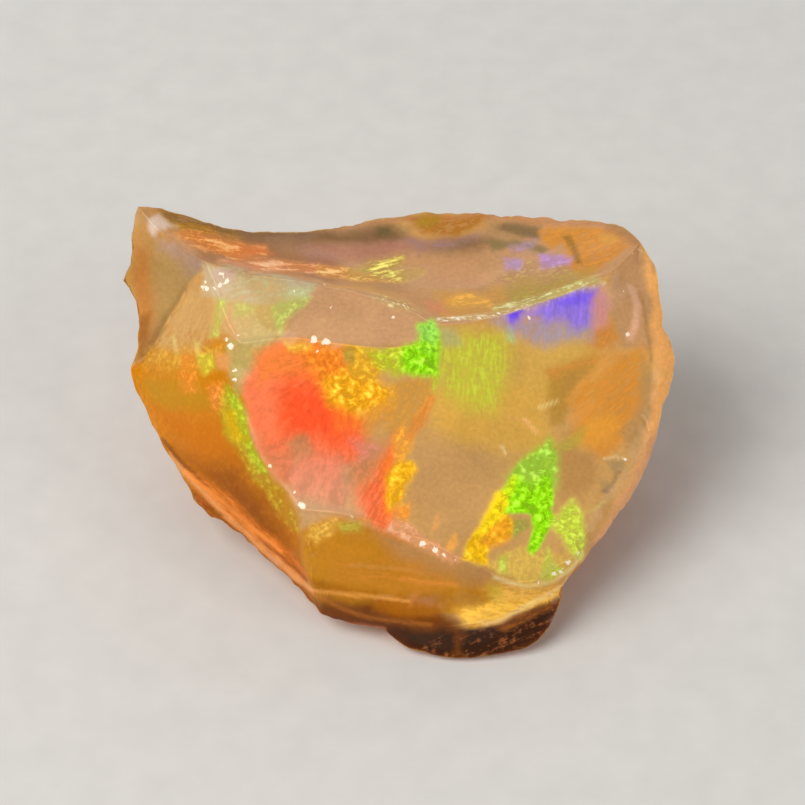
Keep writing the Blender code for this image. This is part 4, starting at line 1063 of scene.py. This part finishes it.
# The fire of the cheek and the brow, and a few hair-thin marks on the slope.
LAST_SHEETS = {
    "brow_gold": ("any", "#D2A440", 0.7, 0.3, (
        (-9.35, 1.85), (-6.4, 2.15), (-6.25, 1.2), (-8.45, 1.1), (-9.45, 1.35),
    ), ("#E8B848", 0.65, 0.6, 0.8, 70)),
    "brow_hair": ("any", "#DCCE84", 0.5, 0.08, (
        (-8.4, 2.45), (-8.25, 2.45), (-8.1, 1.85), (-8.25, 1.8),
    )),
    "brow_hair_far": ("any", "#E0D678", 0.5, 0.08, (
        (-7.5, 2.3), (-7.35, 2.25), (-7.25, 1.65), (-7.4, 1.65),
    )),
    "cheek_embers": ("cheek", "#E08E2C", 0.9, 0.18, (
        (-7.95, 1.75), (-7.45, 1.75), (-7.45, 0.4), (-7.95, 0.3), (-8.15, 1.05),
    ), ("#F8A840", 0.7, 0.8, 0.85, 70)),
    "cheek_embers_right": ("cheek", "#E49034", 0.9, 0.16, (
        (-7.0, 0.65), (-6.35, 0.65), (-6.3, -0.2), (-6.85, -0.35),
    ), ("#FFAC54", 0.8, 0.8, 0.85, 70)),
    "cheek_spark": ("any", "#D2C23A", 0.9, 0.12, (
        (-7.35, 1.7), (-6.8, 1.75), (-6.7, 1.2), (-7.15, 0.95),
    ), ("#F0E850", 0.8, 0.8, 0.85, 70)),
    "cheek_pink": ("any", "#E0A060", 0.8, 0.12, (
        (-6.7, 1.75), (-6.15, 1.75), (-6.2, 1.1), (-6.65, 1.2),
    )),
    "cheek_lime": ("cheek", "#BCA020", 1.0, 0.2, (
        (-6.35, 0.6), (-5.9, 0.3), (-5.6, -0.45), (-5.25, -1.35), (-4.95, -2.1), (-4.45, -2.9),
        (-4.75, -3.35), (-5.35, -2.65), (-5.9, -1.75), (-6.35, -1.2), (-6.6, -0.55),
    ), ("#DCDC48", 0.8, 0.6, 0.75, -62)),
    "cheek_lime_low": ("cheek", "#B88A22", 0.9, 0.22, (
        (-5.2, -2.45), (-4.9, -2.15), (-4.3, -2.95), (-3.75, -3.85), (-3.5, -4.8), (-4.0, -4.5),
        (-4.75, -3.65),
    ), ("#CCC840", 0.66, 0.7, 0.6, -62)),
    "cheek_lime_rim": ("cheek", "#B4C42C", 0.9, 0.14, (
        (-6.3, 0.55), (-6.0, 0.3), (-5.7, -0.35), (-5.35, -1.3), (-5.1, -2.0), (-4.75, -2.55),
        (-5.05, -2.45), (-5.4, -2.0), (-5.7, -1.5), (-6.0, -0.65), (-6.25, 0.0),
    ), ("#D4F048", 0.9, 0.8, 0.8, -62)),
    "cheek_lime_gold": ("cheek", "#DAB410", 0.7, 0.18, (
        (-6.5, -0.35), (-6.0, -0.2), (-5.6, -1.35), (-6.05, -1.5),
    )),
    "hair_line": ("any", "#F0BC78", 0.85, 0.05, (
        (4.25, -0.55), (4.4, -0.5), (4.9, -1.05), (4.8, -1.15),
    )),
    "hair_line_two": ("any", "#E4CC84", 0.75, 0.05, (
        (4.8, -0.15), (5.6, 0.1), (5.6, 0.0), (4.95, -0.25),
    )),
    "hair_line_three": ("any", "#ECD09C", 0.6, 0.05, (
        (3.45, -1.5), (3.6, -1.5), (3.75, -1.85), (3.65, -1.85),
    )),
    "hair_line_four": ("any", "#DCA860", 0.6, 0.05, (
        (3.75, -0.45), (4.25, -0.55), (4.6, -0.8), (4.55, -0.85), (4.2, -0.65), (3.75, -0.55),
    )),
}
SHEETS = (
    # the plane that each group is drawn on; a later sheet lies over an earlier one
    ("back", BACK_SHEETS),
    ("right", RIGHT_SHEETS),
    ("left", LEFT_SHEETS),
    ("under", UNDER_SHEETS),
    ("slope", SCOOP_SHEETS),
    ("slope", CHEEK_SHEETS),
    ("slope", BEVEL_SHEETS),
    ("slope", SLOPE_SHEETS),
    ("slope", STEP_SHEETS),
    ("slope", EDGE_SHEETS),
    ("slope", FIRE_SHEETS),
    ("slope", LAST_SHEETS),
)
# Painted highlights: spots on the slope painted white as glints of light on its arrises.
GLINTS = (
    # across and up the slope, and reach, in mm
    (-7.2, 4.15, 0.15), (-7.05, 4.1, 0.15), (-6.8, 4.1, 0.1), (-6.55, 4.2, 0.15),
    (-6.3, 4.35, 0.2), (-6.5, 4.6, 0.15), (-7.1, 4.3, 0.1), (-6.65, 3.75, 0.05),
    (-6.3, 2.25, 0.15), (-6.15, 2.0, 0.2), (-5.85, 2.4, 0.1), (-6.0, 1.15, 0.1),
    (-6.0, 0.8, 0.15), (-3.15, 2.25, 0.2), (-2.7, 2.15, 0.2), (-3.05, 1.85, 0.1),
    (-2.8, 4.25, 0.1), (-2.55, 3.4, 0.1), (-3.85, 4.0, 0.1), (0.05, 3.5, 0.05), (-0.3, 3.05, 0.1),
    (0.15, 3.15, 0.05), (0.7, -5.0, 0.2), (1.15, -5.2, 0.2), (1.45, -5.4, 0.1), (1.9, -5.6, 0.1),
    (4.8, -6.4, 0.1), (5.4, -6.1, 0.15), (5.65, -6.0, 0.15), (5.9, -5.7, 0.15),
    (6.25, -5.35, 0.1), (1.55, 2.95, 0.1), (2.0, 3.0, 0.1), (2.75, 3.05, 0.1), (3.45, 3.2, 0.1),
    (4.55, 3.05, 0.1), (8.15, 2.45, 0.15), (8.05, 4.05, 0.1), (-4.75, -2.25, 0.1),
    (-3.6, -3.65, 0.2), (-3.85, -3.2, 0.1), (-0.95, -6.1, 0.05), (8.0, -2.05, 0.1),
    (8.25, -1.7, 0.05), (4.1, -9.0, 0.1),
)

def eased(value, low, high):
    """0 below low, 1 above high, and a smooth rise between."""
    part = np.clip((value - low) / (high - low), 0.0, 1.0)
    return part * part * (3 - 2 * part)


def depth_inside(outline, spots):
    """How far inside a closed outline each spot is, in mm, and below zero outside it."""
    away = np.full(len(spots), np.inf)
    inside = np.zeros(len(spots), bool)
    corners = np.array(outline)
    for (x0, y0), (x1, y1) in zip(corners, np.roll(corners, -1, axis=0)):
        side = np.array((x1 - x0, y1 - y0))
        apart = spots - (x0, y0)
        along = np.clip(apart @ side / (side @ side), 0.0, 1.0)
        away = np.minimum(away, np.hypot(*(apart - along[:, None] * side).T))
        crossed = (spots[:, 1] < y0) != (spots[:, 1] < y1)
        level = (spots[:, 1] - y0) / ((y1 - y0) or 1.0)
        inside ^= crossed & (spots[:, 0] < x0 + level * (x1 - x0))
    return np.where(inside, away, -away)


def threads_of(spots, lie):
    """Where each spot is across and along fibres that lie at an angle or fan from a spot, in mm."""
    if isinstance(lie, tuple):
        x, y = (spots - np.array(lie)).T
        return np.arctan2(y, x) * FAN_RADIUS, np.hypot(x, y)
    turn = math.radians(lie)
    across = spots @ (-math.sin(turn), math.cos(turn))
    return across, spots @ (math.cos(turn), math.sin(turn))


count = len(opal_mesh.vertices)
places = np.empty(count * 3)
opal_mesh.vertices.foreach_get("co", places)
places = places.reshape(-1, 3) / MM
facing = np.empty(count * 3)
opal_mesh.attributes["facing"].data.foreach_get("vector", facing)
facing = facing.reshape(-1, 3)
opal_mesh.attributes.remove(opal_mesh.attributes["facing"])
waver = sum(
    np.array([noise.noise_vector(Vector(spot) * rate) for spot in places]) * reach
    for reach, rate in WAVERS
)

# How surely each spot belongs to a fracture, and where it lies on each plane of sheets.
belongs = {"any": np.ones(count)}
for (name, other_name), (way, other_way) in FRACTURES.items():
    sure = eased(facing @ (np.array(way) - np.array(other_way)), -SAME_FACE, SAME_FACE)
    belongs[name], belongs[other_name] = sure, 1 - sure
from_middle = places - np.array(STONE_MIDDLE) / MM
laid = {}
for name, (across, up, seen_from) in PLANES.items():
    spots = np.stack([from_middle @ np.array(across), from_middle @ np.array(up)], axis=1)
    laid[name] = (spots, eased(facing @ np.array(seen_from), TURNED_AWAY, TURNED_TO))

# The haze, ember and spark colours also carry the sheets of painted light and shade.
haze = np.tile(colour(BODY_HAZE), (count, 1))
ember = haze.copy()
spark = haze.copy()
cover, power, grain = np.zeros((3, count))
flow = np.zeros((count, 3))
for plane, sheets in SHEETS:
    spots, seen = laid[plane]
    for fracture_names, hex_value, weight, edge, outline, *sparks in sheets.values():
        wandering = spots + waver[:, :2] * min(1.0, edge / SOFT_ENOUGH)
        mask = eased(depth_inside(outline, wandering), -edge, edge) * seen
        for name in fracture_names.split():
            mask *= belongs[name]
        spread = (weight * mask)[:, None]
        sheet_colour = np.array(colour(hex_value))
        ember += (sheet_colour - ember) * spread
        if not sparks:
            haze += (sheet_colour - haze) * spread
            spark += (sheet_colour - spark) * spread * TINT_OF_SPARKS
            continue
        haze += (sheet_colour - haze) * spread * GLOW_IN_HAZE
        hex_value, sheet_cover, sheet_power, sheet_grain, lie = sparks[0]
        spark += (np.array(colour(hex_value)) - spark) * mask[:, None]
        cover += (sheet_cover - cover) * mask
        power += (sheet_power - power) * mask
        grain += (sheet_grain - grain) * mask
        threads = np.stack([*threads_of(spots, lie), np.zeros(count)], axis=1)
        held = mask > LIES_ITS_WAY
        flow[held] = threads[held] / (FAINT_WIDTH + BOLDNESS * sheet_power)
spark[:, 3] = power

# How near each spot is to a painted glint.
glint = np.zeros(count)
spots, seen = laid["slope"]
for x, y, reach in GLINTS:
    glint = np.maximum(glint, eased(-np.hypot(spots[:, 0] - x, spots[:, 1] - y), -reach, 0.0) * seen)

for name, kind, key, values in (
    ("haze", "FLOAT_COLOR", "color", haze),
    ("ember", "FLOAT_COLOR", "color", ember),
    ("spark", "FLOAT_COLOR", "color", spark),
    ("cover", "FLOAT", "value", cover),
    ("grain", "FLOAT", "value", grain),
    ("flow", "FLOAT_VECTOR", "vector", flow),
    ("glint", "FLOAT", "value", glint),
):
    layer = opal_mesh.attributes.new(name, kind, "POINT")
    layer.data.foreach_set(key, values.astype(np.float32).ravel())


# ---------------------------------------------------------------- the stone: its polish and its glow
# Freshly broken opal has the gloss of wax or wet glass, over a body that light goes into and
# comes out of again, amber where it is thick. Sheets of fire are crisp where they break off, in
# fibres and grains a third of a millimetre across.

# Sizes in mm, and then how far or how strongly.
GRAIN_SIZE = 0.28
BLOCK_HEART, BLOCK_EDGE = 0.1, 0.7  # where a rounded block of grain is full, and where it ends
SWIRLS_PER_MM, GRAIN_SWIRL = 1.9, 0.35
WORM_SIZE, WORM_WIDTH, WORM_SHARE = 0.36, 0.17, 0.45
FIBRE_WIDTH, FIBRE_LENGTH = 0.14, 0.75
FIBRE_DARK, FIBRE_PALE = 0.3, 0.7
FINE_SIZE, FINE_IN_FIRE, FINE_IN_HAZE = 0.14, 0.8, 0.30
TONE_IN_COVER = 1.2  # how much a bright grain outlasts a dusky one at a sheet's edge
BURNS_FROM, BURNS_FULLY = 0.93, 1.26
SPARKS_FROM, SPARKS_FULLY = 0.44, 1.02
DUSK, DUSK_ENDS = 0.46, 0.6  # how dark the duskiest grain is, and the tone at which none is left
CLOUD_SIZE, CLOUD_DEPTH = 1.9, 0.09
ARRIS_LINE, ARRIS_LIGHT = 0.86, 0.36  # how narrow the lit line is, and how bright
# painted shade next to an arris: where it starts, where it ends, and how dark
BESIDE_FROM, BESIDE_TO, BESIDE_DIM = 0.2, 0.8, 0.95
# the white chips along the arrises, partly painted highlight, and the painted glints
CHIP_SIZE, CHIP_RUN = 0.16, 1.3
CHIP_GLINT_COLOUR = "#F8ECD6"
CHIPS_FROM, CHIPS_FULLY, CHIPS_IN_RUN = 0.52, 0.68, 0.26
GLINT_REACH = 1.1
CHIP_GLINT_FROM, CHIP_GLINT_FULLY, CHIP_GLINT_WHITE = 0.84, 1.12, 0.95
GLOSS, CHIP_GLINT_ROUGHNESS = 0.20, 0.45
# the painted glow: how much its colour deepens, and how strongly it is emitted
GLOW_DEEPENS, GLOW = 1.4, 0.34
OPAL_IOR = 1.45
HACKLES_PER_MM, HACKLE_DEPTH, HACKLE_STRENGTH = 1.3, 0.05, 0.5
AMBER = "#FFCE81"
AMBER_PER_METRE = 180.0

tree = precious_opal.node_tree
shader = tree.nodes["Principled BSDF"]
place = add(tree, "ShaderNodeVectorMath",
            {0: add(tree, "ShaderNodeTexCoord", out="Object"), "Scale": 1 / MM}, operation="SCALE")
haze_colour, ember_colour, spark_colour = (
    add(tree, "ShaderNodeAttribute", out="Color", attribute_name=name)
    for name in ("haze", "ember", "spark")
)
spark_power = spark_colour.node.outputs["Alpha"]
fire_cover, grain_share, arris_mask, glint_mask = (
    add(tree, "ShaderNodeAttribute", out="Fac", attribute_name=name)
    for name in ("cover", "grain", "arris", "glint")
)
flow_place = add(tree, "ShaderNodeAttribute", out="Vector", attribute_name="flow")

# Grains: rounded blocks of one order of balls, with worm-like seams among them.
swirl = add(tree, "ShaderNodeTexNoise", {"Vector": place, "Scale": SWIRLS_PER_MM, "Detail": 2.0},
            out="Color")
swirl = add(tree, "ShaderNodeVectorMath", {0: swirl, 1: (0.5,) * 3}, operation="SUBTRACT")
swirled = add(tree, "ShaderNodeVectorMath", {0: swirl, 1: (GRAIN_SWIRL,) * 3, 2: place},
              operation="MULTIPLY_ADD")
blocks = add(tree, "ShaderNodeTexVoronoi", {"Vector": swirled, "Scale": 1 / GRAIN_SIZE})
blocks = add(tree, "ShaderNodeMapRange", {0: blocks, 1: BLOCK_HEART, 2: BLOCK_EDGE, 3: 1.0, 4: 0.0})
worms = add(tree, "ShaderNodeTexNoise",
            {"Vector": swirled, "Scale": 1 / WORM_SIZE, "Detail": 1.0, "Distortion": 0.8})
worms = add(tree, "ShaderNodeMath", {0: worms, 1: 0.5}, operation="SUBTRACT")
worms = add(tree, "ShaderNodeMath", {0: worms}, operation="ABSOLUTE")
worms = add(tree, "ShaderNodeMapRange", {0: worms, 1: 0.0, 2: WORM_WIDTH, 3: 1.0, 4: 0.0})
grain_tone = add(tree, "ShaderNodeMix", {0: WORM_SHARE, 2: blocks, 3: worms})

# Fibres: thin threads that lie along the sheet's own streaks.
threads = add(tree, "ShaderNodeVectorMath",
              {0: flow_place, 1: (1 / FIBRE_WIDTH, 1 / FIBRE_LENGTH, 1.0)}, operation="MULTIPLY")
fibres = add(tree, "ShaderNodeTexNoise",
             {"Vector": threads, "Scale": 1.0, "Detail": 3.0, "Roughness": 0.6},
             noise_dimensions="2D")
fibre_tone = add(tree, "ShaderNodeMapRange",
                 {0: fibres, 1: FIBRE_DARK, 2: FIBRE_PALE, 3: 0.0, 4: 1.0})
tone = add(tree, "ShaderNodeMix", {0: grain_share, 2: fibre_tone, 3: grain_tone})
fine = add(tree, "ShaderNodeTexNoise", {"Vector": place, "Scale": 1 / FINE_SIZE, "Detail": 2.0})
fine = add(tree, "ShaderNodeMath", {0: fine, 1: 0.5}, operation="SUBTRACT")
tone = add(tree, "ShaderNodeMath", {0: fine, 1: FINE_IN_FIRE, 2: tone}, operation="MULTIPLY_ADD")

# A sheet's cover thins out to its edge, where only its brightest grains and fibres are left.
lit = add(tree, "ShaderNodeMath", {0: tone, 1: TONE_IN_COVER, 2: fire_cover},
          operation="MULTIPLY_ADD")
burning = add(tree, "ShaderNodeMapRange", {0: lit, 1: BURNS_FROM, 2: BURNS_FULLY, 3: 0.0, 4: 1.0},
              interpolation_type="SMOOTHSTEP")

# Inside it the grains and fibres run from dusky to bright.
sparkling = add(tree, "ShaderNodeMapRange",
                {0: tone, 1: SPARKS_FROM, 2: SPARKS_FULLY, 3: 0.0, 4: 1.0},
                interpolation_type="SMOOTHSTEP")
sparkling = add(tree, "ShaderNodeMath", {0: sparkling, 1: spark_power}, operation="MULTIPLY")
burnt = add(tree, "ShaderNodeMapRange", {0: tone, 1: 0.0, 2: DUSK_ENDS, 3: DUSK, 4: 0.0})
burnt = add(tree, "ShaderNodeMath", {0: burnt, 1: spark_power}, operation="MULTIPLY")
burnt = add(tree, "ShaderNodeMath", {0: 1.0, 1: burnt}, operation="SUBTRACT")
embers = add(tree, "ShaderNodeVectorMath", {0: ember_colour, "Scale": burnt}, operation="SCALE")
fire = add(tree, "ShaderNodeMix", {0: sparkling, 6: embers, 7: spark_colour}, out=2,
           data_type="RGBA")

# The haze drifts in soft clouds.
clouds = add(tree, "ShaderNodeTexNoise",
             {"Vector": place, "Scale": 1 / CLOUD_SIZE, "Detail": 4.0, "Distortion": 0.4})
cloud_tone = add(tree, "ShaderNodeMapRange",
                 {0: clouds, 1: 0.3, 2: 0.7, 3: 1 - CLOUD_DEPTH, 4: 1 + CLOUD_DEPTH})
cloud_tone = add(tree, "ShaderNodeMath", {0: fine, 1: FINE_IN_HAZE, 2: cloud_tone},
                 operation="MULTIPLY_ADD")
clouded = add(tree, "ShaderNodeVectorMath", {0: haze_colour, "Scale": cloud_tone},
              operation="SCALE")
base = add(tree, "ShaderNodeMix", {0: burning, 6: clouded, 7: fire}, out=2, data_type="RGBA")

# Painted highlight: an arris is painted lighter in a thin line, brighter in some stretches than in
# others, and painted shade darkens it a little next to the line.
painted_arris_light = add(tree, "ShaderNodeMapRange",
            {0: arris_mask, 1: ARRIS_LINE, 2: 1.0, 3: 0.0, 4: ARRIS_LIGHT},
            interpolation_type="SMOOTHSTEP")
painted_shade_next_to_arris = add(tree, "ShaderNodeMapRange",
             {0: arris_mask, 1: BESIDE_FROM, 2: BESIDE_TO, 3: 1.0, 4: BESIDE_DIM},
             interpolation_type="SMOOTHSTEP")
painted_arris_light = add(tree, "ShaderNodeMath", {0: painted_arris_light, 1: clouds, 2: painted_shade_next_to_arris}, operation="MULTIPLY_ADD")
base = add(tree, "ShaderNodeVectorMath", {0: base, "Scale": painted_arris_light}, operation="SCALE")

# Along the arrises, in short runs, tiny cracks are painted white, partly the white of knocked chips
# and partly painted highlight; at the glints the white is painted highlight.
chips = add(tree, "ShaderNodeTexNoise", {"Vector": place, "Scale": 1 / CHIP_SIZE, "Detail": 1.0})
chip_run = add(tree, "ShaderNodeTexNoise", {"Vector": place, "Scale": 1 / CHIP_RUN, "Detail": 1.0})
chip_run = add(tree, "ShaderNodeMapRange",
               {0: chip_run, 1: CHIPS_FROM, 2: CHIPS_FULLY, 3: 0.0, 4: CHIPS_IN_RUN})
chips_and_glints = add(tree, "ShaderNodeMath", {0: arris_mask, 1: chip_run, 2: chips},
              operation="MULTIPLY_ADD")
chips_and_glints = add(tree, "ShaderNodeMath", {0: glint_mask, 1: GLINT_REACH, 2: chips_and_glints},
              operation="MULTIPLY_ADD")
chip_and_glint_white = add(tree, "ShaderNodeMapRange",
             {0: chips_and_glints, 1: CHIP_GLINT_FROM, 2: CHIP_GLINT_FULLY, 3: 0.0, 4: CHIP_GLINT_WHITE},
             interpolation_type="SMOOTHSTEP")
base = add(tree, "ShaderNodeMix", {0: chip_and_glint_white, 6: base, 7: colour(CHIP_GLINT_COLOUR)}, out=2,
           data_type="RGBA")
tree.links.new(base, shader.inputs["Base Color"])

# Painted glow: a faint emission of the stone's own colour, deepened, stands in for light that has
# wandered through the stone and come back out.
glow = add(tree, "ShaderNodeGamma", {0: base, 1: GLOW_DEEPENS})
tree.links.new(glow, shader.inputs["Emission Color"])
rough = add(tree, "ShaderNodeMapRange", {0: chip_and_glint_white, 1: 0.0, 2: 0.85, 3: GLOSS, 4: CHIP_GLINT_ROUGHNESS})
tree.links.new(rough, shader.inputs["Roughness"])
for name, value in {
    "Emission Strength": GLOW,
    "IOR": OPAL_IOR,
    "Transmission Weight": 0.15,
    "Subsurface Weight": 0.30,
    "Subsurface Radius": (1.0, 0.5, 0.2),
    "Subsurface Scale": 1.0 * MM,
    "Specular IOR Level": 0.14,
    "Coat Weight": 0.05,
    "Coat Roughness": 0.06,
}.items():
    shader.inputs[name].default_value = value

# The faint ribs that a break leaves as it runs through the stone, and amber in the thick of it.
hackle = add(tree, "ShaderNodeTexNoise",
             {"Vector": place, "Scale": HACKLES_PER_MM, "Detail": 3.0, "Roughness": 0.45,
              "Distortion": 0.6})
bump = add(tree, "ShaderNodeBump",
           {"Strength": HACKLE_STRENGTH, "Distance": HACKLE_DEPTH * MM, "Height": hackle})
tree.links.new(bump, shader.inputs["Normal"])
absorbing = add(tree, "ShaderNodeVolumeAbsorption",
                {"Color": colour(AMBER), "Density": AMBER_PER_METRE})
tree.links.new(absorbing, tree.nodes["Material Output"].inputs["Volume"])

rough_opal = bpy.data.objects.new("rough_opal", opal_mesh)
bpy.context.scene.collection.objects.link(rough_opal)
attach(rough_opal, "root")
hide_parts("rough_fire_opal")
